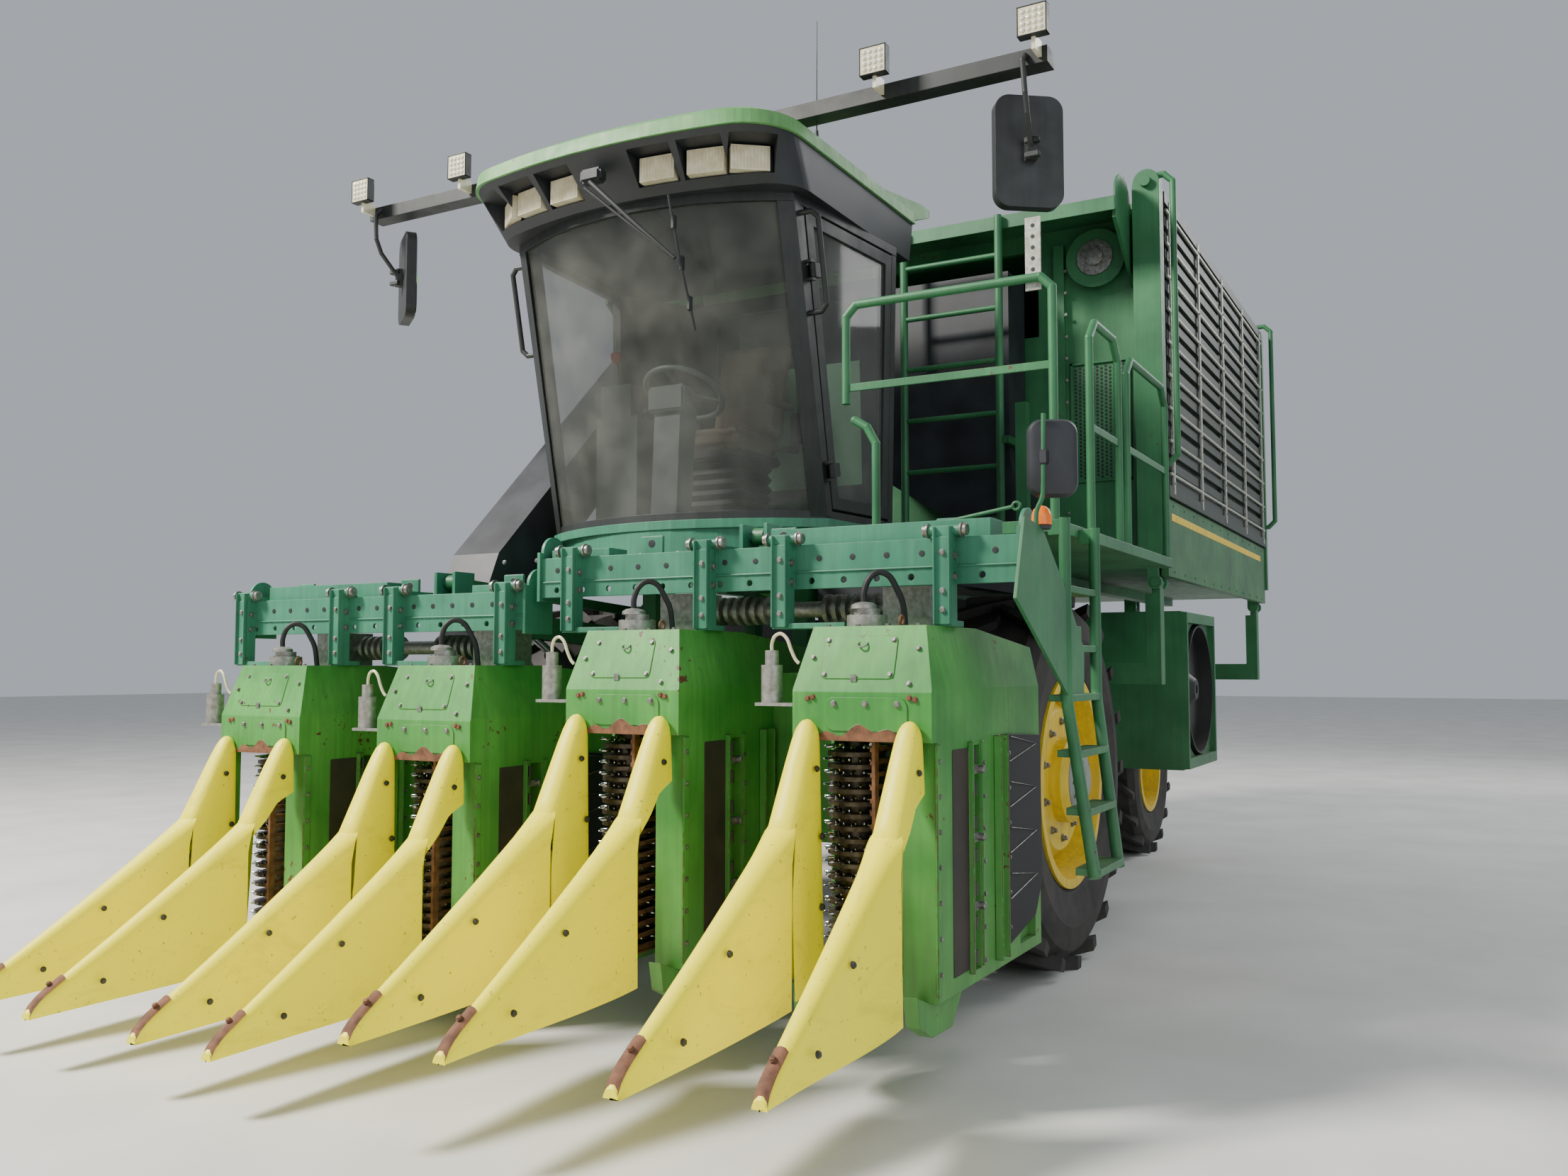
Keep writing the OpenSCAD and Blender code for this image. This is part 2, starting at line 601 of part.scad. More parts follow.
mirror_at = [1150, 1700, 3467];
mirror_turn = 36;
module light_bar() machine() color(black) {
    box([1205, 1295], [-1830, 1830], [bar_z0, bar_z0 + 65]);
    both() box([1200, 1300], [260, 420], [cab_top_z + roof_h + 0.3, bar_z0 + 1]);
    both() {
        pipe([[1250, 1740, bar_z0 + 32], [1340, 1742, bar_z0 + 44], [1320, 1750, 3600],
            mirror_at + [36, 27, 0]], 22, 40);
        translate(mirror_at) rotate([0, 0, mirror_turn]) {
            translate([-25, -140, -228]) rotate([90, 0, 90]) linear_extrude(50) rounded(280, 456, 60);
            translate([24, -22, -45]) cube([36, 44, 90]);
        }
    }
}

// Ducts that carry the cotton from the header to the basket

module duct_path(grow) offset(delta = grow) polygon([
    [leg_back, 1020], [leg_front, 1020], [leg_front, 1800], [1330, 1960], [-360, 3600], [-660, 3700],
    [-900, 3700], [-900, 3420], [-420, 3240], [1150, 1700], [leg_back, 1640]]);
module cotton_ducts() machine() color([0.2, 0.2, 0.21]) {
    difference() {
        side_plate(-leg_out, -leg_in) duct_path(0);
        side_plate(-leg_out + 10, -leg_in - 10) union() {
            duct_path(-10);
            translate([leg_back + 10, 1000]) square([leg_front - leg_back - 20, 60]);
            translate([-920, 3440]) square([60, 240]);
        }
    }
    // Bracket on the cab's floor, and seats under the deck
    box([900, 990], [-leg_in - 1, -700.3], [deck_z + 28, deck_z + 68]);
    for (x = [-350, 400, 1100]) box([x, x + 90], [leg_in + 20, leg_out - 20],
        [deck_z - 71, deck_z - deck_h - 0.3]);
    difference() {
        union() {
            box([leg_back, leg_front], [leg_in, leg_out], [1020, deck_z - 70]);
            box([-940, leg_front], [leg_in, leg_out], [deck_z - 165, deck_z - 70]);
            front_plate(-940, -660) polygon([[leg_in, deck_z - 165], [leg_out, deck_z - 165],
                [leg_out, deck_z + 60], [995, 2550], [995, 3600], [140, 3600], [140, 2550], [700, 2200]]);
        }
        box([leg_back + 10, leg_front - 10], [leg_in + 10, leg_out - 10], [1000, deck_z - 80]);
        box([-930, leg_front - 10], [leg_in + 10, leg_out - 10], [deck_z - 155, deck_z - 80]);
        front_plate(-930, -670) polygon([[leg_in + 10, deck_z - 155], [leg_out - 10, deck_z - 155],
            [leg_out - 10, deck_z + 58], [985, 2548], [985, 3700], [150, 3700], [150, 2556], [708, 2206]]);
    }
}

// Basket

module basket_shell() machine() color(green) {
    w = basket_wall;
    hw = basket_hw;
    // Floor, rear wall and right wall
    box([basket_back, basket_front], [-hw, hw], [basket_floor_z, basket_floor_z + w]);
    box([basket_back, basket_back + w], [-hw, hw], [basket_floor_z, basket_top_z]);
    box([basket_back, basket_front], [-hw, -hw + w], [basket_floor_z, basket_top_z]);
    // Front wall, open at its top for the ducts, with screens
    difference() {
        box([basket_front - w, basket_front], [-hw, hw], [basket_floor_z, basket_top_z - 20]);
        box([basket_front - w - 5, basket_front + 5], [490 - hw, hw - 660],
            [basket_top_z - 700, basket_top_z - 200]);
    }
    // Roof with its forward overhang
    for (part = [[-hw, overhang_y, -570], [overhang_y - 1, hw, basket_front]]) intersection() {
        side_plate(part[0], part[1]) polygon([[basket_back, basket_top_z - w],
            [basket_front - 500, basket_top_z - w],
            [-600, basket_top_z - 150], [-600, basket_top_z - 170], [-570, basket_top_z - 190],
            [-570, basket_top_z - 115],
            [basket_front - 500, basket_top_z], [basket_back, basket_top_z]]);
        box([basket_back, part[2]], [-hw, hw], [basket_top_z - 200, basket_top_z]);
    }
    for (y = [-hw, overhang_y - 20]) side_plate(y, y + 20) polygon([
        [basket_front - 5, basket_top_z - 500], [basket_front - 5, basket_top_z - 100],
        [-600, basket_top_z - 150], [-600, basket_top_z - 220]]);
    // Round end plate of the overhang, beside the tower
    side_plate(overhang_y - 12, overhang_y) hull() {
        translate([-760, basket_top_z - 110]) circle(165);
        translate([basket_front + 10, basket_top_z - 300]) circle(60);
    }
    // Posts of the walls
    for (y = [-hw, -900, -300, 300, 900]) box([basket_back - 50, basket_back + 5], [y, y + 60],
        [basket_floor_z, basket_top_z]);
    for (x = [-1700, -2400, -3100, -3800]) box([x, x + 60], [-hw - 50, -hw + 5],
        [basket_floor_z, basket_top_z]);
    for (y = [-hw, 390 - hw, hw - 560, hw - 60]) box([basket_front - 5, basket_front + 40],
        [y, y + 60], [basket_floor_z, basket_top_z - 200]);
    // Sills under the floor, with the hinge eyes
    for (y = [-1200, -100, 1000]) box([basket_back + 100, basket_front - 150], [y, y + 80],
        [basket_floor_z - 55, basket_floor_z + 5]);
    for (x = basket_posts, dx = [-38, 98]) difference() {
        union() {
            along_x(tip_y, tip_z, x + dx, x + dx + 30, 76);
            box([x + dx, x + dx + 30], [tip_y - 38, tip_y + 20], [tip_z, basket_floor_z + 5]);
        }
        along_x(tip_y, tip_z, x + dx - 5, x + dx + 35, 49.2);
    }
    for (x = tip_x, dx = [-66, 36]) {
        box([x + dx, x + dx + 30], [tip_pin_y - 45, tip_pin_y + 45], [tip_pin_z - 45, basket_floor_z + 5]);
        along_x(tip_pin_y, tip_pin_z, dx < 0 ? x + dx - 12 : x + dx + 29,
            dx < 0 ? x + dx + 1 : x + dx + 42, 39);
    }
}

module unloading_conveyor() machine() color(steel) {
    z0 = 2400;
    z1 = basket_top_z - 60;
    pitch = (z1 - z0) / slats;
    for (i = [0 : slats - 1]) box([basket_back + 60, basket_front - 60], [basket_hw + 12, basket_hw + 42],
        [z0 + i * pitch, z0 + i * pitch + 52]);
    for (x = [basket_back + 20, (basket_back + basket_front) / 2 - 30, basket_front - 80])
        box([x, x + 60], [basket_hw, basket_hw + 30], [z0 - 60, basket_top_z]);
    box([basket_back, basket_front], [basket_hw, basket_hw + 14], [z0 - 60, basket_top_z - 20]);
    for (z = [z0 - 62, basket_top_z - 40]) box([basket_back, basket_front], [basket_hw, basket_hw + 56],
        [z, z + 60]);
}

module conveyor_drive() machine() color(green) {
    // Tower of the chain drive at the front corner
    box([basket_front + 40, basket_front + 130], [basket_hw - 90, basket_hw + 56],
        [2010, basket_top_z + 40]);
    along_x(basket_hw - 15, basket_top_z + 40, basket_front + 40, basket_front + 130, 142);
    along_x(basket_hw - 15, basket_top_z + 40, basket_front + 130, basket_front + 160, 60);
    along_x(overhang_y - 205, basket_top_z - 310, basket_front + 40, basket_front + 60, 330);
    along_x(overhang_y - 205, basket_top_z - 310, basket_front + 0.3, basket_front + 70, 70);
    // Handrails on the left side
    for (x = [basket_front + 90, basket_back - 30])
        pipe([[x, basket_hw - 20, 2500], [x, basket_hw + 120, 2500],
            [x, basket_hw + 120, basket_top_z + 80], [x, basket_hw - 20, basket_top_z + 80],
            [x, basket_hw - 20, basket_top_z - 10]], 34);
    // Chain case at the rear corner
    box([basket_back - 60, basket_back], [basket_hw - 90, basket_hw + 56],
        [2010, basket_top_z + 20]);
}

module basket_ladder() machine() color(green) {
    for (y = [420, 980]) upright(-547, y, 2120, 3880, 44);
    for (i = [0 : 5]) rod([-547, 420, 2210 + i * 290], [-547, 980, 2210 + i * 290], 30);
    // Hooks on the overhang's lip, and the stay to the basket's front, beside the cotton's duct
    for (y = [420, 980]) box([-569.7, -547], [y - 20, y + 20], [3815, 3875]);
    box([basket_front + 0.3, -530], [1003, 1033], [2620, 2660]);
    box([-565, -530], [985, 1033], [2620, 2660]);
}

module side_panel() machine() color(green)
    box([basket_back + 10, basket_front - 10], [basket_hw + 0.3, basket_hw + 40], [1905, 2330]);

// Basket's tipping cylinders
tip_len = sqrt(pow(tip_pin_y - tip_base_y, 2) + pow(tip_pin_z - tip_base_z, 2));
tip_angle = atan2(tip_pin_z - tip_base_z, tip_pin_y - tip_base_y);
module along_tip(x) translate([x, tip_base_y, tip_base_z]) rotate([tip_angle, 0, 0]) rotate([-90, 0, 0])
    children();
module tip_cylinders() machine() color(black) for (x = tip_x) difference() {
    union() {
        along_tip(x) translate([0, 0, 30]) cylinder(d = 96, h = tip_len - 100);
        along_x(tip_base_y, tip_base_z, x - 35, x + 35, 96);
    }
    along_x(tip_base_y, tip_base_z, x - 70, x + 70, 49.2);
    along_tip(x) translate([0, 0, 50]) cylinder(d = 54.2, h = tip_len);
}
module tip_rods() machine() color(steel) for (x = tip_x) {
    along_tip(x) translate([0, 0, 60]) cylinder(d = 54, h = tip_len - 80);
    along_x(tip_pin_y, tip_pin_z, x - 30, x + 30, 76);
}

// Header

rows = [for (i = [0 : 3]) (i - 1.5) * row_spacing];
function side_rows(side) = side > 0 ? [rows[2], rows[3]] : [rows[0], rows[1]];
function rise_of(side) = side > 0 ? left_rise : right_rise;
module header(side) machine() translate([bar_x(rise_of(side)), 0, bar_z(rise_of(side))]) children();
function inner_end(side) = side > 0 ? -140 : 190;

module toolbar(side) header(side) on_side(side) color(green) {
    y0 = inner_end(side);
    box([bar_back, bar_front], [y0, bar_end], [-14, 86]);
    // Front flange with its row of holes
    difference() {
        box([bar_front - 12, bar_front], [y0, bar_end], [-75, -13]);
        for (y = [y0 + 90 : 130 : bar_end - 60]) translate([bar_front - 20, y, -46]) rotate([0, 90, 0])
            cylinder(d = 24, h = 30, $fn = 24);
    }
    // End plates
    for (y = [y0, bar_end - 14]) side_plate(y, y + 14) {
        translate([bar_back - 10, -90]) square([bar_front - bar_back + 25, 200]);
        translate([bar_back + 72, 110]) circle(70);
    }
    // Raised plates on the bar
    box([bar_back, bar_front - 30], [1020, 1790], [85, 150]);
    box([bar_back, bar_front - 30], [y0 + 40, y0 + 330], [85, 120]);
    // Clevis on the lift arm and the top link
    for (y = [arm_y - arm_w / 2 - gap - 16, arm_y + arm_w / 2 + gap])
        box([-60, bar_back + 5], [y, y + 16], [-60, link_up + 45]);
    along_y(0, 0, arm_y - arm_w / 2 - gap - 16, arm_y + arm_w / 2 + gap + 16, 59);
    along_y(0, link_up, arm_y - arm_w / 2 - gap - 16, arm_y + arm_w / 2 + gap + 16, 39);
    // Hangers over the bar, two to a row unit, with their feet on the unit's top
    for (row = side_rows(side), dy = hanger_y) {
        y = side * (row + dy);
        inner = side * (row + max(dy, -unit_w / 2 + 50));
        box([bar_front, bar_front + 50], [y - 32, y + 32], [unit_top, 120]);
        box([bar_back - 20, bar_front + 1], [y - 32, y + 32], [86, 106]);
        along_y(bar_front + 25, 108, y - 60, y + 60, 34);
        box([bar_front - 60, bar_front + 50], [min(y, inner) - 32, max(y, inner) + 32],
            [unit_top, unit_top + 20]);
    }
}

module row_units(side) header(side) color(green) {
    for (y = side_rows(side)) translate([0, y, 0]) unit_cabinet();
    on_side(side) hopper();
}
module unit_cabinet() {
    h = unit_w / 2;
    // Head over the drums, with its upper edges cut off at a slant
    intersection() {
        side_plate(-h, h) polygon([[unit_back, throat_z], [unit_front, throat_z], [unit_front, -440],
            [unit_front - 70, unit_top], [unit_front - 520, unit_top], [unit_back, unit_top - 60]]);
        front_plate(unit_back, unit_front) polygon([[-h, throat_z], [h, throat_z], [h, -430],
            [h - 45, unit_top], [45 - h, unit_top], [-h, -430]]);
    }
    // Rear part of the drum cabinet, and its outer skin
    box([unit_back, -50], [-h, drum_side], [unit_bottom, throat_z + 1]);
    box([-51, 200], [-h, -h + 12], [unit_bottom, throat_z + 1]);
    box([-51, unit_front - 30], [-h, drum_side], [unit_bottom, unit_bottom + 25]);
    box([unit_front - 60, unit_front - 30], [-h, -h + 60], [unit_bottom, throat_z + 1]);
    // Wall on the other side of the crop's passage, with the joint of its door
    difference() {
        box([unit_back, unit_front - 40], [press_side, h], [unit_bottom, throat_z + 1]);
        box([60, 130], [h - 70, h + 1], [unit_bottom + 40, throat_z - 25]);
        box([unit_back + 70, unit_back + 250], [h - 30, h + 1], [unit_bottom + 40, throat_z - 25]);
    }
    // Runner shoes
    for (y = [-h + 30, h - 80]) side_plate(y, y + 50)
        polygon([[150, unit_bottom + 1], [unit_front - 40, unit_bottom + 1],
        [unit_front + 60, unit_bottom + 40], [unit_front + 40, unit_bottom - 60],
            [unit_front - 60, unit_bottom - 110],
        [260, unit_bottom - 115]]);
}
// Open box between the two units, around the duct's leg
module hopper() {
    y0 = row_spacing / 2 + unit_w / 2 - 1;
    y1 = row_spacing * 1.5 - unit_w / 2 + 1;
    x0 = unit_back + 10;
    x1 = x0 + 400;
    difference() {
        box([x0, x1], [y0, y1], [-1040, -380]);
        box([x0 + 12, x1 - 12], [y0 + 12, y1 - 12], [-1028, -340]);
    }
}

// A snout, side 1 on the row's left, from the head over the seam to the tip
seam = [200, -905];
module ball(x, y, z, r) translate([unit_front + x, y, z]) sphere(r = r, $fn = 20);
module snout(side, reach) {
    y = side * 185;
    low = y + side * 25;
    intersection() {
        union() {
            hull() {
                ball(25, y, -565, 38);
                ball(30, y - side * 12, -700, 42);
                ball(seam[0], y, seam[1], 58);
                ball(seam[0] - 10, y, seam[1] - 60, 50);
            }
            // Flank beside the crop's passage, on the drum's side alone
            if (side < 0) hull() {
                ball(seam[0], y, seam[1], 58);
                ball(20, y, -860, 40);
                ball(30, y, -660, 40);
                ball(40, low, -1330, 26);
                ball(seam[0], low, -1330, 26);
            }
            hull() {
                ball(seam[0], y, seam[1], 58);
                ball(seam[0] + 15, low, -1400, 26);
                ball(reach - 20 - unit_front, y + side * 5, -1440, 20);
            }
        }
        box([unit_front + 0.3, reach], [y - 150, y + 150], [-1500, -400]);
    }
}
module snouts(side) header(side) color(yellow)
    for (y = side_rows(side)) translate([0, y, 0]) {
        snout(1, snout_reach - (abs(y + row_spacing / 2) > row_spacing * 1.9 ? 110 : 0));
        snout(-1, snout_reach);
    }

module grid_bars(side) header(side) color(rust)
    for (y = side_rows(side)) translate([0, y, 0]) {
        z0 = unit_bottom + 45;
        pitch = (throat_z - 30 - z0) / drum_rings;
        for (i = [0 : drum_rings]) box([40, unit_front - 40], [drum_side + 6, drum_side + 18],
            [z0 + i * pitch - 7, z0 + i * pitch + 7]);
        for (x = [30, unit_front - 70]) box([x, x + 30], [drum_side + 12, drum_side + 24],
            [unit_bottom + 24, throat_z - 1]);
        box([30, unit_front - 40], [drum_side - 20, drum_side + 24],
            [unit_bottom + 25.5, unit_bottom + 32]);
    }

module unit_drives(side) header(side) color(steel) {
    for (y = side_rows(side)) translate([0, y, 0]) {
        // Cap of the front drum and a gearbox on the unit's top
        upright(315, -55, unit_top + 0.5, unit_top + 40, 140);
        upright(315, -55, unit_top + 39, unit_top + 62, 90);
        box([-60, 110], [-90, 90], [unit_top + 0.5, unit_top + 150]);
        // Grease canister at the front corner
        upright(unit_front - 45, -unit_w / 2 - 105, -480, -350, 74);
        upright(unit_front - 45, -unit_w / 2 - 105, -351, -300, 48);
        box([unit_front - 85, unit_front - 5], [-unit_w / 2 - 150, -unit_w / 2 - 0.5], [-490, -479]);
    }
    y0 = side_rows(side)[0] + 80;
    y1 = side_rows(side)[1] - 80;
    color(black) along_y(20, unit_top + 80, y0, y1, 60);
    color(black) for (i = [0 : 5]) along_y(20, unit_top + 80, y0 + 60 + i * 40, y0 + 78 + i * 40, 110);
    color(black) for (i = [0 : 5]) along_y(20, unit_top + 80, y1 - 60 - i * 40 - 18, y1 - 60 - i * 40, 110);
}

module drum(i) {
    side = i < 2 ? -1 : 1;
    pitch = (drum_high - drum_low) / drum_rings;
    header(side) color(steel) translate([drum_x, rows[i] + drum_y, 0]) rotate_extrude($fn = 48)
        polygon(concat(
        [[0, unit_bottom + 25.3], [30, unit_bottom + 25.3], [30, drum_low]],
        [for (k = [0 : drum_rings - 1], p = [[62, 0.15], [drum_r, 0.25], [drum_r, 0.6], [62, 0.7]])
            [p[0], drum_low + (k + p[1]) * pitch]],
        [[30, drum_high], [30, throat_z - 0.3], [0, throat_z - 0.3]]));
}

// Lift arms, top links and lift cylinders, drawn level and turned to their resting angle
module lift_plane(side, x, z, angle) machine() on_side(side) translate([x, arm_y, z])
    rotate([0, -angle, 0]) children();
module lift_arm(side) lift_plane(side, arm_pivot_x, arm_pivot_z, arm_angle(rise_of(side))) color(green) {
    difference() {
        union() {
            box([60, arm_len - 60], [-arm_w / 2, arm_w / 2], [-60, 50]);
            for (x = [0, arm_len]) along_y(x, 0, -arm_w / 2, arm_w / 2, 100);
            for (x = [40, arm_len - 90]) box([x, x + 50], [-arm_w / 2, arm_w / 2], [-40, 40]);
        }
        for (x = [0, arm_len]) along_y(x, 0, -arm_w, arm_w, 59.2);
        box([740, 980], [-29, 29], [-70, 5]);
    }
    along_y(900, -40, -arm_w / 2, arm_w / 2, 39);
}
module top_link(side) lift_plane(side, arm_pivot_x, arm_pivot_z + link_up, arm_angle(rise_of(side)))
    color(green)
    difference() {
        union() {
            box([20, arm_len - 20], [-25, 25], [-22, 22]);
            for (x = [0, arm_len]) along_y(x, 0, -25, 25, 70);
        }
        along_y(0, 0, -60, 60, 39.2);
        along_y(arm_len, 0, -60, 60, 46);
    }

// The lift cylinder's foot, and the pin under the arm
foot_x = 380;
foot_z = 1110;
function pin_x(rise) = arm_pivot_x + 900 * cos(arm_angle(rise)) + 40 * sin(arm_angle(rise));
function pin_z(rise) = arm_pivot_z + 900 * sin(arm_angle(rise)) - 40 * cos(arm_angle(rise));
function lift_len(rise) = sqrt(pow(pin_x(rise) - foot_x, 2) + pow(pin_z(rise) - foot_z, 2));
function lift_angle(rise) = atan2(pin_z(rise) - foot_z, pin_x(rise) - foot_x);
module lift_cylinder(side) lift_plane(side, foot_x, foot_z, lift_angle(rise_of(side))) color(black)
    difference() {
    union() {
        translate([30, 0, 0]) rotate([0, 90, 0]) cylinder(d = 78, h = lift_len(right_rise) - 210);
        along_y(0, 0, -30, 30, 76);
    }
    along_y(0, 0, -60, 60, 39.2);
    translate([70, 0, 0]) rotate([0, 90, 0]) cylinder(d = 40.2, h = 1200);
}
module lift_rod(side) lift_plane(side, foot_x, foot_z, lift_angle(rise_of(side))) color(steel)
    difference() {
    length = lift_len(rise_of(side));
    union() {
        translate([length - 800, 0, 0]) rotate([0, 90, 0]) cylinder(d = 40, h = 775);
        along_y(length, 0, -20.5, 20.5, 68);
    }
    along_y(length, 0, -60, 60, 50);
}

main_frame();
front_axle();
rear_axle();
engine_block();
cooling_box();
fluid_tanks();
platform();
access_ladder();
cab_base();
cab_frame();
cab_glass();
cab_roof();
cab_visor();
work_lamps();
operator_seat();
cab_controls();
light_bar();
cotton_ducts();
front_tyre(1);  // front_left_tyre
front_wheel_at(1) front_rim();  // front_left_rim
front_tyre(-1);  // front_right_tyre
front_wheel_at(-1) front_rim();  // front_right_rim
knuckle(1);  // rear_left_knuckle
knuckle(-1);  // rear_right_knuckle
rear_tyre(1);  // rear_left_tyre
rear_wheel_at(1) rear_rim();  // rear_left_rim
rear_tyre(-1);  // rear_right_tyre
rear_wheel_at(-1) rear_rim();  // rear_right_rim
cab_door();
door_glass();
rotary_screen();
basket_shell();
unloading_conveyor();
conveyor_drive();
basket_ladder();
side_panel();
tip_cylinders();
tip_rods();
toolbar(1);  // left_toolbar
row_units(1);  // left_row_units
snouts(1);  // left_snouts
grid_bars(1);  // left_grid_bars
unit_drives(1);  // left_unit_drives
toolbar(-1);  // right_toolbar
row_units(-1);  // right_row_units
snouts(-1);  // right_snouts
grid_bars(-1);  // right_grid_bars
unit_drives(-1);  // right_unit_drives
drum(0);  // row_1_drum
drum(1);  // row_2_drum
drum(2);  // row_3_drum
drum(3);  // row_4_drum
lift_arm(1);  // left_lift_arm
lift_arm(-1);  // right_lift_arm
top_link(1);  // left_top_link
top_link(-1);  // right_top_link
lift_cylinder(1);  // left_lift_cylinder
lift_cylinder(-1);  // right_lift_cylinder
lift_rod(1);  // left_lift_rod
lift_rod(-1);  // right_lift_rod
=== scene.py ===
# %% [markdown]
# # A cotton picker, dressed for its portrait
# The CAD model gives every plate, tube and wheel its real size. This script loads it, lights it, and gives
# each surface the look of a machine that has worked for years: faded enamel, scuffed plastic, rust and dust.
# Everything is in metres. X is forward, Y is the driver's left, Z is up, and the ground is at zero.

# %% Load the frame
import math

import bmesh
import bpy
from mathutils import Matrix, Vector


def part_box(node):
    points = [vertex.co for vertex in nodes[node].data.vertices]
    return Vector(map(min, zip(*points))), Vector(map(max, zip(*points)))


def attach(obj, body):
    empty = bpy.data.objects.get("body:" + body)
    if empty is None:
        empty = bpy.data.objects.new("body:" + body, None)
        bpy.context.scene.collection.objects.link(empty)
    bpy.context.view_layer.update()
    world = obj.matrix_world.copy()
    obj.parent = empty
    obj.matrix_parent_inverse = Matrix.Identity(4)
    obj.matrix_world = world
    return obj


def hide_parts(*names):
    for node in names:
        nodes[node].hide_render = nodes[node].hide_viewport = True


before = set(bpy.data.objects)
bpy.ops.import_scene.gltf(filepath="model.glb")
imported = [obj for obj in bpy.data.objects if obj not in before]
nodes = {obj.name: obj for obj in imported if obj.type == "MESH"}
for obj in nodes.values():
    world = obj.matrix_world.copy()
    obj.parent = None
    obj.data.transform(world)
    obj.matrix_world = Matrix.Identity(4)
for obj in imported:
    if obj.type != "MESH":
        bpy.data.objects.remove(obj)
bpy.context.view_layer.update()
AXLE = 0.65  # the front axle is this far ahead of the origin
MIDDLE = sum(corner.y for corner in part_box("front_axle")) / 2  # the machine's centre plane lies here

# %% [markdown]
# ## Camera, floor and light
# The photograph was taken by someone standing at the machine's front left corner, eyes at 1.41 m, looking
# a little up. A phone's wide lens makes the near snouts large, so the focal length matters as much as the
# place. A big warm lamp stands for the sun, and two cooler ones for the sky.


# %% Camera
def new_object(name, data):
    """An object that shows this data, in the scene."""
    made = bpy.data.objects.new(name, data)
    bpy.context.scene.collection.objects.link(made)
    return made


def look_along(thing, direction):
    """Turns a camera or a lamp until it looks along a direction."""
    thing.rotation_mode = "QUATERNION"
    thing.rotation_quaternion = direction.to_track_quat("-Z", "Y")


TURN, RISE = math.radians(29), math.radians(3.6)  # from straight back towards the right, and up
aim = Vector((-math.cos(TURN), -math.sin(TURN), math.tan(RISE)))
camera = new_object("camera", bpy.data.cameras.new("camera"))
camera.location = (6.616, 3.253 + MIDDLE, 1.41)
camera.data.lens, camera.data.sensor_width = 29.13, 36  # millimetres
camera.data.clip_start, camera.data.clip_end = 0.05, 200
look_along(camera, aim)
bpy.context.scene.camera = camera
print("camera at", tuple(camera.location), "looking along", tuple(round(v, 3) for v in aim))

# %% Floor and lights
FAR = 60  # half the floor's width
floor_mesh = bpy.data.meshes.new("floor")
floor_mesh.from_pydata([(-FAR, -FAR, 0), (FAR, -FAR, 0), (FAR, FAR, 0), (-FAR, FAR, 0)], [], [(0, 1, 2, 3)])
floor = new_object("floor", floor_mesh)


def area_light(name, place, target, size, power, colour=(1, 1, 1)):
    """A square soft box at a place, facing a target: size in metres, power in watts."""
    light = new_object(name, bpy.data.lights.new(name, "AREA"))
    light.data.size, light.data.energy, light.data.color = size, power, colour
    light.location = place
    look_along(light, Vector(target) - Vector(place))


area_light("key", (9, -8, 12), (0.5, 0, 1.5), 3, 5200, (1.0, 0.96, 0.9))
area_light("fill", (9, 10, 5), (1, 0, 1.5), 8, 380, (0.9, 0.95, 1.0))
area_light("rim", (-10, 6, 9), (-1, 0, 2), 6, 700)
world = bpy.data.worlds.new("studio")
bpy.context.scene.world = world
world.use_nodes = True
sky = world.node_tree.nodes["Background"]
sky.inputs["Color"].default_value = (0.78, 0.84, 0.92, 1)
sky.inputs["Strength"].default_value = 0.55

# %% [markdown]
# ## Colours and nodes
# Paint colours are easiest to judge as the hex codes that a screen shows, but a renderer adds light in
# linear numbers. One function turns the first into the second. Others add a node, noise, a mix of colours or
# a change of range in one call, so a material reads as a list of what happens to the surface.


# %% Colour and node helpers
def linear(code):
    """The linear colour of an sRGB hex code."""
    parts = [int(code[i : i + 2], 16) / 255 for i in (1, 3, 5)]
    return [p / 12.92 if p <= 0.04045 else ((p + 0.055) / 1.055) ** 2.4 for p in parts] + [1]


def add(beside, kind, values=None, links=None, **settings):
    """Adds a node to the tree of another one or of its output, with settings, sockets' values and links."""
    tree = beside.id_data
    node = tree.nodes.new(kind)
    for name, value in settings.items():
        setattr(node, name, value)
    for socket, value in (values or {}).items():
        node.inputs[socket].default_value = value
    for socket, source in (links or {}).items():
        tree.links.new(source, node.inputs[socket])
    return node


def noise(place, scale, detail, **more):
    """Cloudy noise with about scale lumps to a metre, broken up detail times."""
    values = {"Scale": scale, "Detail": detail, **{name.title(): value for name, value in more.items()}}
    return add(place, "ShaderNodeTexNoise", values, {"Vector": place}).outputs[0]


def remap(source, low, high, new_low=0.0, new_high=1.0):
    """A source's numbers from low to high, turned into those from new_low to new_high."""
    ends = {"From Min": low, "From Max": high, "To Min": new_low, "To Max": new_high}
    return add(source, "ShaderNodeMapRange", ends, {"Value": source}).outputs[0]


def mix(factor, first, second):
    """From the first colour to the second by a factor: each is a hex code or an output."""
    codes, links = {}, {"Factor": factor}
    for socket, colour in (("A", first), ("B", second)):
        if isinstance(colour, str):
            codes[socket] = linear(colour)
        else:
            links[socket] = colour
    return add(factor, "ShaderNodeMix", codes, links, data_type="RGBA").outputs["Result"]


def bump(height, strength, distance, normal=None):
    """Relief from a source's numbers, distance metres deep, on top of an earlier normal."""
    links = {"Height": height, "Normal": normal} if normal else {"Height": height}
    return add(height, "ShaderNodeBump", {"Strength": strength, "Distance": distance}, links).outputs[0]


def new_material(name):
    """A material with an empty Principled surface, that surface, and object coordinates."""
    material = bpy.data.materials.new(name)
    material.use_nodes = True
    surface = material.node_tree.nodes["Principled BSDF"]
    return material, surface, add(surface, "ShaderNodeTexCoord").outputs["Object"]


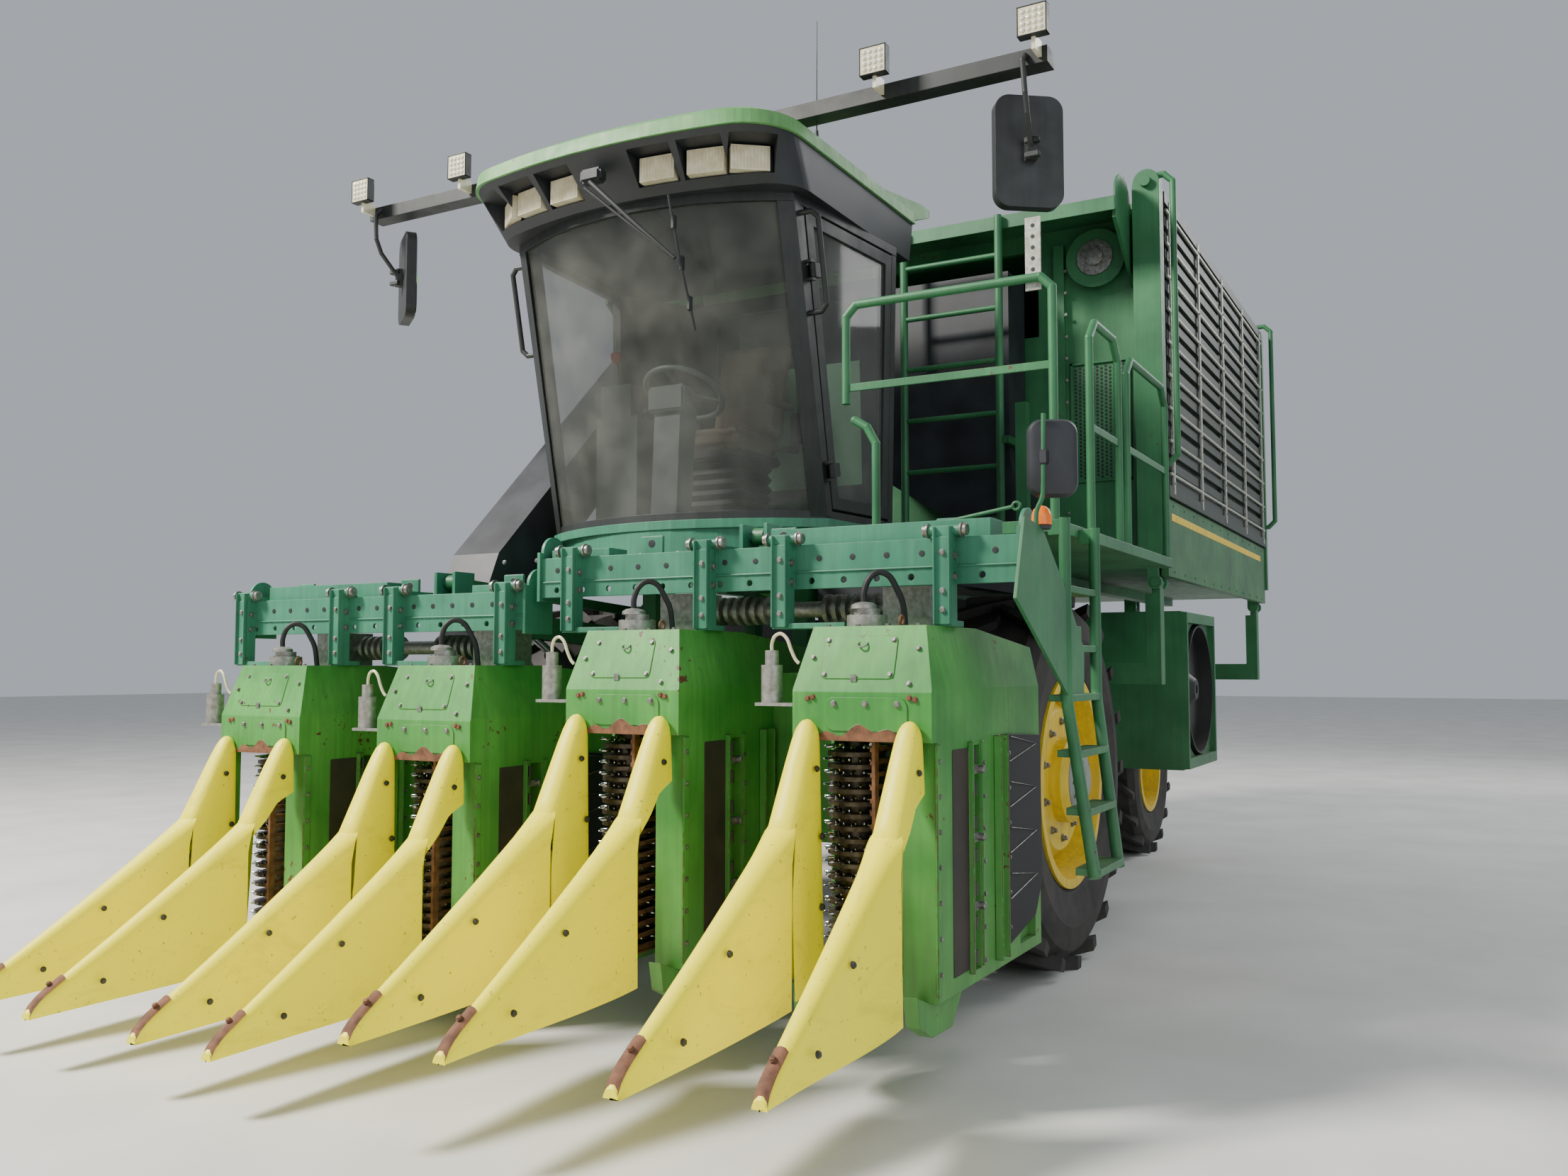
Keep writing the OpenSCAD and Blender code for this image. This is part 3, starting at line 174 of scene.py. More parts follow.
def feed(surface, **sources):
    """Links outputs to the surface's sockets, and sets those that get a number."""
    for name, source in sources.items():
        socket = surface.inputs["IOR" if name == "ior" else name.replace("_", " ").title()]
        if isinstance(source, (int, float)):
            socket.default_value = source
        else:
            surface.id_data.links.new(source, socket)


print("white is", linear("#ffffff"))

# %% [markdown]
# ## Machine enamel
# The green parts are pressed steel, sprayed with alkyd enamel. Sun bleaches it in soft patches, rain leaves
# faint vertical streaks, dust settles low down, and stones knock off chips that rust. Noise in real metres
# drives each of these: patches about 0.3 m wide, streaks 20 mm wide, chips 5 to 10 mm across.

# %% Enamel
PATCHES, CLODS, FLAKES = 3.0, 14.0, 34.0  # noise scales: sun patches, dust and chips, in lumps to a metre
STREAKS = (45, 45, 2.5)  # rain streaks are fine across and long downwards
EDGE_ROUND = 0.004  # metres that wear reaches from a corner


def enamel(name, fresh, faded, chips=0.5, roughness=0.42, dust=0.35):
    """Sprayed enamel on steel: chips is how much paint is gone, dust how much dirt lies low down."""
    material, surface, place = new_material(name)
    patches = noise(place, PATCHES, 4.0)
    colour = mix(remap(patches, 0.35, 0.68), fresh, faded)
    tall = add(place, "ShaderNodeMapping", {"Scale": STREAKS}, {"Vector": place}).outputs[0]
    streaks = noise(tall, 1.0, 3.0)
    colour = mix(remap(streaks, 0.3, 0.75, 0.0, 0.3), colour, "#2c3a2c")
    # Dust lies thickest below 0.2 m and is gone above 1.5 m
    height = add(place, "ShaderNodeSeparateXYZ", links={"Vector": place}).outputs["Z"]
    clods = noise(place, CLODS, 6.0)
    low = remap(height, 1.5, 0.2, 0.0, dust)
    dirty = add(place, "ShaderNodeMath", links={0: low, 1: clods}, operation="MULTIPLY").outputs[0]
    colour = mix(dirty, colour, "#7d7462")
    # Chips come where flakes and patches meet, and more readily where the surface turns a corner
    flakes = noise(place, FLAKES, 5.0, roughness=0.6)
    loose = add(place, "ShaderNodeMath", links={0: flakes, 1: patches}, operation="ADD").outputs[0]
    soft = add(place, "ShaderNodeBevel", {"Radius": EDGE_ROUND}, samples=4).outputs[0]
    flat = add(place, "ShaderNodeNewGeometry").outputs["True Normal"]
    turned = add(place, "ShaderNodeVectorMath", links={0: soft, 1: flat}, operation="DOT_PRODUCT")
    corner = remap(turned.outputs["Value"], 0.99, 0.8, 0.0, 0.34 * chips)
    reached = add(place, "ShaderNodeMath", links={0: loose, 1: corner}, operation="ADD").outputs[0]
    bare = 1.37 - 0.13 * chips
    colour = mix(remap(reached, bare, bare + 0.02), colour, "#5a3a28")
    rough = remap(clods, 0.0, 1.0, roughness - 0.08, roughness + 0.22)
    relief = bump(clods, 0.25, 0.0015, soft)
    feed(surface, base_color=colour, roughness=rough, normal=relief, ior=1.5)
    return material


green_enamel = enamel("green_enamel", "#1f6238", "#357a4a")
header_enamel = enamel("header_enamel", "#32862f", "#55a547", chips=0.9)
toolbar_enamel = enamel("toolbar_enamel", "#2c7458", "#438c6c", chips=0.3)
roof_enamel = enamel("roof_enamel", "#4f8f4c", "#76ac68", chips=0.2, roughness=0.5)
# A darker copy of the green enamel for the side panel, which faces away from the sun: painted shade
green_enamel_painted_shade = enamel("green_enamel_painted_shade", "#1f5a2c", "#33743c")
black_enamel = enamel("black_enamel", "#141515", "#26282a", chips=0.2, roughness=0.45)
wheel_enamel = enamel("wheel_enamel", "#f4d010", "#e8c428", chips=0.4)
print("enamels made:", len(bpy.data.materials))

# %% [markdown]
# ## Plastics, rubber and metals
# Tyres are carbon black rubber under dust. Spindles and grid bars are bare steel with flash rust. Each is two
# near colours mixed by noise as coarse as the real grain, with finer noise for the touch of the surface.


# %% Moulded, cast and woven materials
def plain(name, colour, second, roughness, scale, metallic=0.0, grit=0.2):
    """A surface of two near colours: scale is its grain in lumps to a metre, grit how rough it feels."""
    material, surface, place = new_material(name)
    grain = noise(place, scale, 5.0)
    feed(surface, base_color=mix(remap(grain, 0.325, 0.675), colour, second),
         roughness=remap(grain, 0.0, 1.0, roughness - 0.06, roughness + 0.1),
         normal=bump(noise(place, scale * 9, 3.0), grit, 0.0008), metallic=metallic)
    return material


tyre_rubber = plain("tyre_rubber", "#1d1c1b", "#3a3632", 0.75, 9, grit=0.5)
soft_rubber = plain("soft_rubber", "#0f0f10", "#1e1e20", 0.6, 30)
rusted_steel = plain("rusted_steel", "#5b3c2b", "#8a5f45", 0.75, 26, metallic=0.25, grit=0.6)
spindle_steel = plain("spindle_steel", "#6e665c", "#4a3c31", 0.45, 40, metallic=0.7, grit=0.3)
zinc_plate = plain("zinc_plate", "#9b9c99", "#6f6a60", 0.42, 60, metallic=0.8)
chrome_rod = plain("chrome_rod", "#c9ccd0", "#b9bcc0", 0.12, 20, metallic=1.0, grit=0.02)
cast_aluminium = plain("cast_aluminium", "#a9a8a2", "#88867e", 0.5, 50, metallic=0.85)
galvanised_steel = plain("galvanised_steel", "#b9bbb0", "#8f9184", 0.5, 55, metallic=0.6)
black_polyethylene = plain("black_polyethylene", "#1c1e22", "#2b2e33", 0.5, 6, grit=0.15)
grey_abs = plain("grey_abs", "#4d5553", "#5f6865", 0.5, 8, grit=0.3)
tan_fabric = plain("tan_fabric", "#75695a", "#8f8371", 0.9, 160, grit=0.6)
# Black vinyl for the seat's bellows; the same material makes the black discs of painted shade that stand for
# holes
black_vinyl_and_hole_shade = plain("black_vinyl_and_hole_shade", "#17181a", "#232427", 0.5, 60, grit=0.4)
slat_enamel = plain("slat_enamel", "#1a261d", "#2c3a2c", 0.5, 12)
cream_lens = plain("cream_lens", "#cbbf9b", "#ded7bb", 0.22, 25, grit=0.3)
engine_iron = plain("engine_iron", "#2b2d2b", "#3b3a36", 0.6, 14, metallic=0.3)
red_knob = plain("red_knob", "#a3231a", "#8a1a14", 0.35, 30)
# Painted shade: the dark plate that fills the opening in each head's flank
opening_painted_shade = plain("opening_painted_shade", "#2c2521", "#3d342d", 0.6, 7, grit=0.3)
mirror_glass = plain("mirror_glass", "#c8ccd0", "#bfc4c8", 0.04, 3, metallic=1.0, grit=0.0)
floor_paint = plain("floor_paint", "#c9c8c3", "#d6d5d1", 0.75, 1.5, grit=0.15)
floor.data.materials.append(floor_paint)
print("plastics, rubbers and metals:", len(bpy.data.materials))

# %% [markdown]
# ## Lenses and glass
# A marker lamp's lens is clear amber plastic with fine prisms on its back, so light passes partly through.
# The windows are tinted float glass: the tint hides the cab's inside, and a film of dust catches the sky.


# %% Lenses and windows
def lens(name, colour, crest, roughness, transmission):
    """A clear moulding that light passes partly through, with fine prisms on its back."""
    material, surface, place = new_material(name)
    prisms = add(place, "ShaderNodeTexVoronoi", {"Scale": 220.0}, {"Vector": place}).outputs["Distance"]
    feed(surface, base_color=mix(prisms, colour, crest), roughness=roughness,
         normal=bump(prisms, 0.4, 0.001), transmission_weight=transmission)
    return material


def glass(name, tint, opacity):
    """Tinted float glass: mostly see-through, glossy, with a breath of dust that scatters light."""
    material, surface, place = new_material(name)
    dust = noise(place, 5.0, 6.0)
    feed(surface, base_color=mix(dust, tint, "#8b8c84"),
         alpha=remap(dust, 0.45, 0.85, opacity, opacity + 0.06),
         roughness=remap(dust, 0.0, 1.0, 0.02, 0.05))
    return material


amber_lens = lens("amber_lens", "#f06a0c", "#ff8a1e", 0.2, 0.05)
led_lens = lens("led_lens", "#d9d4c0", "#f4f1e6", 0.15, 0.3)
cab_tint = glass("cab_tint", "#0c1416", 0.3)
print("clear materials:", amber_lens.name, led_lens.name, cab_tint.name)

# %% [markdown]
# ## Moulded snouts
# Snouts are rotationally moulded polyethylene: a deep, slightly waxy yellow with a faint pebble from the
# mould and soft dents. Stalks slide along them and leave long scuffs, and sap dries in small specks.

# %% Snout plastic
SLOPE = -0.8  # the snouts' fall in radians, along which stalks slide


def moulded_snout(name, fresh, faded, scuff):
    """Rotationally moulded polyethylene: soft pebble, sun fade, long scuffs and specks of dried sap."""
    material, surface, place = new_material(name)
    patches = noise(place, 2.6, 5.0, distortion=0.6)
    colour = mix(patches, fresh, faded)
    turned = {"Scale": (2.2, 14, 5), "Rotation": (0, SLOPE, 0)}
    slide = add(place, "ShaderNodeMapping", turned, {"Vector": place}).outputs[0]
    rubs = noise(slide, 1.0, 8.0, roughness=0.65, distortion=0.8)
    colour = mix(remap(rubs, 0.55, 0.78, 0.0, 0.75), colour, scuff)
    specks = noise(place, 60.0, 4.0)
    colour = mix(remap(specks, 0.66, 0.74, 0.0, 0.6), colour, "#6d5d2c")
    dents = bump(patches, 0.5, 0.004)
    pebble = bump(noise(place, 240.0, 2.0), 0.15, 0.0006, dents)
    feed(surface, base_color=colour, roughness=remap(rubs, 0.0, 1.0, 0.34, 0.6), normal=pebble)
    return material


yellow_polyethylene = moulded_snout("yellow_polyethylene", "#fff000", "#fff424", "#cfc32e")
print("materials so far:", len(bpy.data.materials))

# %% [markdown]
# ## Shape helpers
# Small makers of bevelled bars, swept tubes, turned parts, bolts and lofted shells. Each adds to the one mesh
# that is in the making, so that a hundred bolts can be one piece. `piece` then turns it into an object that
# rides on a CAD body, and clears it. A maker's index picks one of the piece's materials.

# %% Faces, rings and pieces
making = bmesh.new()
FORWARD, LEFT, UP = (1, 0, 0), (0, 1, 0), (0, 0, 1)
BOLTS = 1  # a piece's second material is that of its bolts and other bare fittings
SUNK = 0.001  # how far a small part reaches into what it stands on, so that no gap shows


def take(name):
    """What was made so far, as an object's mesh. The making is then empty again."""
    data = bpy.data.meshes.new(name)
    making.to_mesh(data)
    making.clear()
    return data


def piece(name, body, material, angle=32, replaced=()):
    """Turns what was made into an object, smooth but for edges sharper than angle."""
    bmesh.ops.recalc_face_normals(making, faces=making.faces)
    data = take(name)
    data.shade_smooth()
    data.set_sharp_from_angle(angle=math.radians(angle))
    for m in material if isinstance(material, list) else [material]:
        data.materials.append(m)
    made = new_object(name, data)
    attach(made, body)
    if replaced:
        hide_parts(*replaced)
    return made


def ring_strip(rings, index=0):
    """Faces between rings of points, and a flat cap on the first ring and on the last."""
    loops = [[making.verts.new(p) for p in ring] for ring in rings]
    count = len(loops[0])
    for a, b in zip(loops, loops[1:]):
        for i in range(count):
            j = (i + 1) % count
            making.faces.new((a[i], a[j], b[j], b[i])).material_index = index
    for loop in (loops[0], loops[-1]):
        making.faces.new(loop).material_index = index


def frame_along(direction):
    """The direction with length one, and two more that are square to it and to each other."""
    axis = Vector(direction).normalized()
    side = axis.orthogonal().normalized()
    return axis, side, axis.cross(side)


def around(count, turn=0.0):
    """Angles that share out a circle, the first one turned by a share of their spacing."""
    return [2 * math.pi * (i + turn) / count for i in range(count)]


def in_a_row(first, step, count):
    """Numbers in a row, each a step after the one before."""
    return [first + step * i for i in range(count)]


def circle_at(place, side, up, radius, steps):
    """Points of a circle round a place, in the plane of side and up."""
    place = Vector(place)
    return [place + side * (math.cos(a) * radius) + up * (math.sin(a) * radius) for a in around(steps)]


print("small parts reach in by", SUNK)


# %% Turned parts, bolts and tubes
def lathe(place, axis, profile, steps=24, index=0):
    """A turned part: profile is (distance along the axis, radius) pairs."""
    axis, side, up = frame_along(axis)
    rings = [circle_at(Vector(place) + axis * d, side, up, max(r, 1e-5), steps) for d, r in profile]
    ring_strip(rings, index)


def bolt(place, normal, size, index=BOLTS):
    """A hexagon bolt head on its washer: size is the bolt's thread, and the rest goes by it."""
    axis, side, up = frame_along(normal)
    lathe(place, axis, [(-SUNK, size * 1.1), (size * 0.16, size * 1.1), (size * 0.18, size)], 14, index)
    rings = [circle_at(Vector(place) + axis * (size * d), side, up, size * r, 6)
             for d, r in ((0.15, 0.92), (0.72, 0.92), (0.8, 0.8))]
    ring_strip(rings, index)


def rivet(place, normal, radius=0.008, index=0):
    """A low domed head."""
    dome = ((0.3, 0.95), (0.55, 0.6), (0.65, 0.1))
    lathe(place, normal, [(-SUNK, radius)] + [(radius * d, radius * r) for d, r in dome], 12, index)


def smooth_path(points, per=6):
    """A Catmull-Rom curve through points, with per steps between neighbours."""
    pts = [Vector(p) for p in points]
    pts = [2 * pts[0] - pts[1]] + pts + [2 * pts[-1] - pts[-2]]
    path = []
    for a, b, c, d in zip(pts, pts[1:], pts[2:], pts[3:]):
        for i in range(per):
            t = i / per
            path.append(0.5 * (2 * b + (c - a) * t + (2 * a - 5 * b + 4 * c - d) * t * t
                               + (3 * b - a - 3 * c + d) * t ** 3))
    return path + [pts[-2]]


def tube(path, radius, steps=10, index=0):
    """A round tube along a path; radius is one number or one per point."""
    path = [Vector(p) for p in path]
    radii = radius if isinstance(radius, list) else [radius] * len(path)
    axis, side, up = frame_along(path[1] - path[0])
    rings = []
    for i, p in enumerate(path):
        ahead = path[min(i + 1, len(path) - 1)] - path[max(i - 1, 0)]
        turn = axis.rotation_difference(ahead.normalized())
        axis, side, up = turn @ axis, turn @ side, turn @ up
        rings.append(circle_at(p, side, up, radii[i], steps))
    ring_strip(rings, index)


def bent_pipe(points, radius, bend, steps=10, index=0):
    """A pipe through points with its corners bent to a radius, as a tube bender leaves them."""
    pts = [Vector(p) for p in points]
    path = [pts[0]]
    for a, b, c in zip(pts, pts[1:], pts[2:]):
        u, v = (a - b).normalized(), (c - b).normalized()
        cut = min(bend, (a - b).length * 0.49, (c - b).length * 0.49)
        for i in range(7):
            t = i / 6
            path.append(b + u * cut * (1 - t) ** 2 + v * cut * t ** 2)
    tube(path + [pts[-1]], radius, steps, index)


def torus(place, axis, ring, wire, index=0):
    """A ring of round wire."""
    axis, side, up = frame_along(axis)
    path = circle_at(place, side, up, ring, 16)
    tube(path + [path[0]], wire, 6, index)


print("turned parts and tubes can be made")


# %% Bars and plates
def bar(low, high, bevel=0.003, index=0):
    """A bevelled rectangular bar between two corners."""
    low, high = Vector(low), Vector(high)
    size, middle = high - low, (high + low) / 2
    made = bmesh.ops.create_cube(making, size=1.0)["verts"]
    for v in made:
        v.co = v.co * size + middle
    edges = list({e for v in made for e in v.link_edges})
    out = bmesh.ops.bevel(making, geom=edges, offset=min(bevel, *(s * 0.45 for s in size)), segments=2,
                          affect="EDGES")
    corners = {v for f in out["faces"] for v in f.verts} | {v for v in made if v.is_valid}
    for f in {f for v in corners for f in v.link_faces}:
        f.material_index = index


def border(low, high, width, bevel):
    """Four bars round a rectangle that faces forward, between its low corner and its high one."""
    (x0, y0, z0), (x1, y1, z1) = low, high
    for ya, za, yb, zb in ((y0, z0, y0 + width, z1), (y1 - width, z0, y1, z1),
                           (y0, z0, y1, z0 + width), (y0, z1 - width, y1, z1)):
        bar((x0, ya, za), (x1, yb, zb), bevel)


def plate(outline, thickness, to_place, bevel=0.0015, index=0):
    """A flat plate from an outline of (u, v) points; to_place turns (u, v, height) into a place."""
    cu = sum(u for u, v in outline) / len(outline)
    cv = sum(v for u, v in outline) / len(outline)
    k = 1 - bevel / max(max(abs(u - cu), abs(v - cv)) for u, v in outline)
    inner = [(cu + (u - cu) * k, cv + (v - cv) * k) for u, v in outline]
    ring_strip([[to_place(u, v, h) for u, v in points] for points, h in
                ((outline, 0.0), (outline, thickness - bevel), (inner, thickness))], index)


def round_outline(w, h, r, steps=5, du=0.0, dv=0.0):
    """A rectangle w by h round (du, dv), with its corners rounded by r."""
    out = []
    for cx, cy, a0 in ((1, 1, 0), (-1, 1, 90), (-1, -1, 180), (1, -1, 270)):
        for i in range(steps + 1):
            a = math.radians(a0 + 90 * i / steps)
            out.append((du + cx * (w / 2 - r) + r * math.cos(a), dv + cy * (h / 2 - r) + r * math.sin(a)))
    return out


def at(x, y, z):
    """A place given in metres from the middle of the front axle, as the CAD model's source counts them."""
    return Vector((x + AXLE, y + MIDDLE, z))


print("the front axle's middle is at", tuple(round(v, 3) for v in at(0, 0, 0)))


# %% [markdown]
# ## Materials on the CAD nodes
# Every CAD node keeps its shape and gets the material of the real piece.

# %% Assign
FINISH = {
    green_enamel: ["main_frame", "front_axle", "rear_axle", "cooling_box", "platform", "access_ladder",
                   "rear_left_knuckle", "rear_right_knuckle", "basket_shell", "conveyor_drive",
                   "basket_ladder", "left_lift_arm", "right_lift_arm", "left_top_link", "right_top_link"],
    # painted shade: the side panel gets the darker copy of the green enamel
    green_enamel_painted_shade: ["side_panel"],
    header_enamel: ["left_row_units", "right_row_units"],
    toolbar_enamel: ["left_toolbar", "right_toolbar", "cab_base"],
    roof_enamel: ["cab_roof"],
    black_enamel: ["cab_frame", "cab_door", "light_bar", "tip_cylinders", "left_lift_cylinder",
                   "right_lift_cylinder", "rotary_screen"],
    black_polyethylene: ["cab_visor", "fluid_tanks", "cotton_ducts"],
    cab_tint: ["cab_glass", "door_glass"],
    cream_lens: ["work_lamps"],
    tan_fabric: ["operator_seat"],
    grey_abs: ["cab_controls"],
    engine_iron: ["engine_block"],
    tyre_rubber: [f"{end}_{side}_tyre" for end in ("front", "rear") for side in ("left", "right")],
    wheel_enamel: [f"{end}_{side}_rim" for end in ("front", "rear") for side in ("left", "right")],
    slat_enamel: ["unloading_conveyor"],
    chrome_rod: ["tip_rods", "left_lift_rod", "right_lift_rod"],
    cast_aluminium: ["left_unit_drives", "right_unit_drives"],
    spindle_steel: [f"row_{i}_drum" for i in (1, 2, 3, 4)],
    rusted_steel: ["left_grid_bars", "right_grid_bars"],
    yellow_polyethylene: ["left_snouts", "right_snouts"],
}
for material, names in FINISH.items():
    for name in names:
        mesh = nodes[name].data
        mesh.materials.clear()
        mesh.materials.append(material)
missing = [name for name, node in nodes.items() if node.data.materials[0] not in FINISH]
print("nodes without a finish:", missing)

# %% [markdown]
# ## Snouts
# Each row runs between two snouts. A snout is two mouldings: a nose bolted to the head, and a long front
# body that slips over it at a seam. Both are open shells with a rounded ridge and nearly flat flanks, so one
# U-shaped section, repeated from the head to the tip, makes them. The wall is 5 mm thick.

# %% The section of a snout
ROWS = {"left": (1.4475, 0.4825), "right": (-0.4825, -1.4475)}
HINGE = {"left": (1.70439, 1.77), "right": (1.71774, 1.64)}  # x and z of each toolbar's pivot
WALL = 0.005
RIDGE_ARC = [math.radians(6 + 168 * i / 10) for i in range(11)]  # the rounded ridge, from flank to flank
FLANK_STEPS = (0, 0.3, 0.6, 0.85)  # shares of the way from a foot up to the ridge


def header_at(half):
    """Places counted from a toolbar's pivot, on the machine's middle plane."""
    hinge_x, hinge_z = HINGE[half]
    return lambda x, y, z: at(hinge_x + x, y, hinge_z + z)


def between(a, b, shares):
    """Points between a and b, at shares of the way."""
    return [tuple(p + (q - p) * t for p, q in zip(a, b)) for t in shares]


def shell_ring(put, x, y, top, low, r, tall, right, left, sweep=0.0, wall=WALL):
    """A U-shaped section: ridge at top, feet at low, flanks right and left of y, swept back at the ridge."""
    ring = []
    for inset, way in ((0.0, 1), (wall, -1)):
        rr, rz = r - inset, tall - inset
        arc = [(rr * math.cos(a), top - inset - rz + rz * math.sin(a)) for a in RIDGE_ARC]
        first, last = (right - inset, low), (-left + inset, low)
        outline = between(first, arc[0], FLANK_STEPS) + arc + between(last, arc[-1], FLANK_STEPS)[::-1]
        ring += [put(x + sweep * min(1.0, max(0.0, (top - pz) / 0.09)), y + py, pz)
                 for py, pz in outline[::way]]
    return ring


print("points in a section:", len(shell_ring(header_at("left"), 0, 0, 1, 0, 0.1, 0.1, 0.1, 0.1)))

# %% Snout shells
SNOUT_SIDE = 0.185  # a snout stands this far to either side of its row
NOSE_X, NOSE_LONG = 0.491, 0.224  # the nose's root at the head, and its length
SEAM_X, TIP_X, SHORT_TIP_X = 0.668, 1.58, 1.47  # the outermost snout on the left is the short one
RIDGE_Z, RIDGE_FALL = -0.838, 0.575  # the front body's ridge at the seam, and its fall to the tip
FOOT_Z = -1.428  # the front body's feet at the seam
STRAP = ((-0.022, -0.008), (-0.013, 0.001), (0, 0.004), (0.013, 0.001), (0.022, -0.008), (0, -0.012))


def ridge(s):
    """Height of the front body's ridge at a share s of its length: it droops in the last 7 %."""
    return RIDGE_Z - RIDGE_FALL * s - (0.02 * max(0, (s - 0.93) / 0.07) ** 2)


def nose_section(table, x):
    """Ridge, foot and radius of the nose at x, between the rows (x, ridge, foot, radius) of its table."""
    for a, b in zip(table, table[1:]):
        if x <= b[0]:
            return between(a[1:], b[1:], [(x - a[0]) / (b[0] - a[0])])[0]
    return table[-1][1:]


def nose(put, y, side):
    """The rear moulding: it rises over a hump and then falls steeply to the seam."""
    deep, seam_deep, end_deep = (-0.757, -0.865, -0.93) if side > 0 else (-1.375, -1.395, -1.4)
    table = [(0.491, -0.556, deep, 0.036), (0.498, -0.536, deep - 0.004, 0.038),
             (0.515, -0.527, deep - 0.01, 0.040), (0.54, -0.545, deep - 0.02, 0.041),
             (0.58, -0.612, deep - 0.04, 0.043), (0.64, -0.727, seam_deep, 0.049),
             (0.715, -0.868, end_deep, 0.053)]
    rings = []
    for i in range(15):
        x = NOSE_X + NOSE_LONG * (i / 14) ** 1.3
        top, low, r = nose_section(table, x)
        wide = r + (0.016 if side < 0 else 0.006)
        rings.append(shell_ring(put, x, y, top, low, r, r * 1.5, wide, wide))
    ring_strip(rings)


def front_body(put, y, side, along):
    """The long moulding from the seam to the tip, where its wall closes the section."""
    rings = []
    for i in range(23):
        s = i / 22
        r = 0.061 - 0.037 * s
        flare = 0.066 - 0.046 * s + 0.006 * math.sin(2 * math.pi * s)
        inner = 0.05 - 0.028 * s
        right, left = (flare, inner) if side > 0 else (inner + 0.008, flare)
        sag = math.sin(math.pi * s)
        rings.append(shell_ring(put, along(s), y + side * 0.003 * s, ridge(s) - 0.012 * sag,
                                FOOT_Z - 0.03 * s - 0.006 * sag, r, r * 1.2, right, left,
                                0.058 * max(0.0, 1 - 6 * s), WALL if i < 20 else r * 0.9))
    ring_strip(rings)


def snout(put, row, side, tip):
    """Nose, front body, their bolts and the strap that takes the wear, at side 1 or -1 of a row."""
    def along(s):
        return SEAM_X + (tip - SEAM_X) * s
    y = row + side * SNOUT_SIDE
    nose(put, y, side)
    front_body(put, y, side, along)
    for x, u, z in ((0.68 + (tip - 0.68) * 0.46, 0.055, -1.182), (0.68 + (tip - 0.68) * 0.72, 0.052, -1.372),
                    (0.552, 0.048 if side > 0 else 0.056, -0.69)):
        bolt(put(x, y + u, z), (0.1, 1, 0.25), 0.010)
    for z in (-0.912, -1.141) if side < 0 else ():
        bolt(put(0.52, y + 0.058, z), LEFT, 0.011)
    ring_strip([[put(along(min(s, 0.997)), y + side * 0.003 + u, ridge(s) + h) for u, h in STRAP]
                for s in in_a_row(0.86, 0.145 / 6, 7)], 2)
    bolt(put(along(0.91), y, -1.352), (0.5, 0, 0.85), 0.009, 2)


snout_parts = [yellow_polyethylene, black_enamel, rusted_steel]
for half, rows in ROWS.items():
    for row in rows:
        for side in (1, -1):
            snout(header_at(half), row, side, SHORT_TIP_X if row > 1 and side > 0 else TIP_X)
    piece(f"{half}_snout_shells", f"{half}_header", snout_parts, 40, [f"{half}_snouts"])
print("snouts moulded:", 2 * sum(len(rows) for rows in ROWS.values()))

# %% [markdown]
# ## Heads of the row units
# The head is folded sheet over the drums. Its slanted face carries a hatch with a pull ring, its front face
# a rounded plate over the crop's passage, and its bare lower edge rusts. These are thin plates with bolts,
# laid on the CAD model's faces.

# %% Hatch, throat plate and rusty edge
RUST, BLACK, CAST, DARK, RUBBER = range(2, 7)  # numbers of the heads' other materials
FACE_X, KNEE_Z = 0.49, -0.44  # the head's front face, and where it begins to slant back
UP_SLANT = (-0.07 / 0.23087, 0.22 / 0.23087)  # in x and z
OUT_OF_SLANT = (0.953, 0, 0.303)
EDGE_Z = -0.6  # the sheet's lower edge


def head_face(put, row):
    """Hatch with its pull ring and latch, the throat's plate, and the rust along the edge below it."""
    def on_slant(u, v, h):
        return put(FACE_X + UP_SLANT[0] * v + OUT_OF_SLANT[0] * h, row + u,
                   KNEE_Z + UP_SLANT[1] * v + OUT_OF_SLANT[2] * h)
    plate(round_outline(0.27, 0.15, 0.02, du=-0.02, dv=0.12), 0.003, on_slant)
    for u, v in ((-0.14, 0.06), (0.1, 0.06), (-0.14, 0.18), (0.1, 0.18),  # the hatch's corners
                 (0.17, 0.03), (0.19, 0.15), (-0.19, 0.12)):  # and the sheet beside it
        bolt(on_slant(u, v, 0.003), OUT_OF_SLANT, 0.008)
    torus(on_slant(-0.01, 0.165, 0.006), (0.6, 0, 0.8), 0.017, 0.003, BOLTS)
    bar(on_slant(-0.04, 0.035, 0.0), on_slant(-0.018, 0.058, 0.01), 0.002, BOLTS)
    throat = round_outline(0.30, 0.112, 0.035, du=0.019, dv=-0.512)
    plate(throat, 0.004, lambda u, v, h: put(FACE_X + h, row + u, v))
    for u in (-0.095, 0.019, 0.133):
        bolt(put(FACE_X + 0.004, row + u, -0.478), FORWARD, 0.010)
    back, front, edge = FACE_X - 0.0015, FACE_X + 0.0047, []
    for i in range(25):
        u = -0.2 + 0.4 * i / 24
        rise = 0.016 + 0.012 * math.sin(i * 0.9 + row * 7) + 0.03 * math.exp(-((u - 0.02) / 0.09) ** 2)
        section = ((back, 0), (front, 0), (front, rise), (back, rise))
        edge.append([put(x, row + u, EDGE_Z + z) for x, z in section])
    ring_strip(edge, RUST)
    for side in (-1, 1):
        for u, z in ((0.175, -0.457), (0.195, -0.462)):
            bolt(put(FACE_X + 0.0005, row + side * u, z), FORWARD, 0.009, RUST)


print("a hatch leans back by", round(math.degrees(math.atan2(-UP_SLANT[0], UP_SLANT[1])), 1), "degrees")

# %% [markdown]
# The flank is the press door's side: round hinges and turning latches hold the door, a bolted channel
# stands behind its dark opening, and a rubber flap keeps stalks off the wheel.

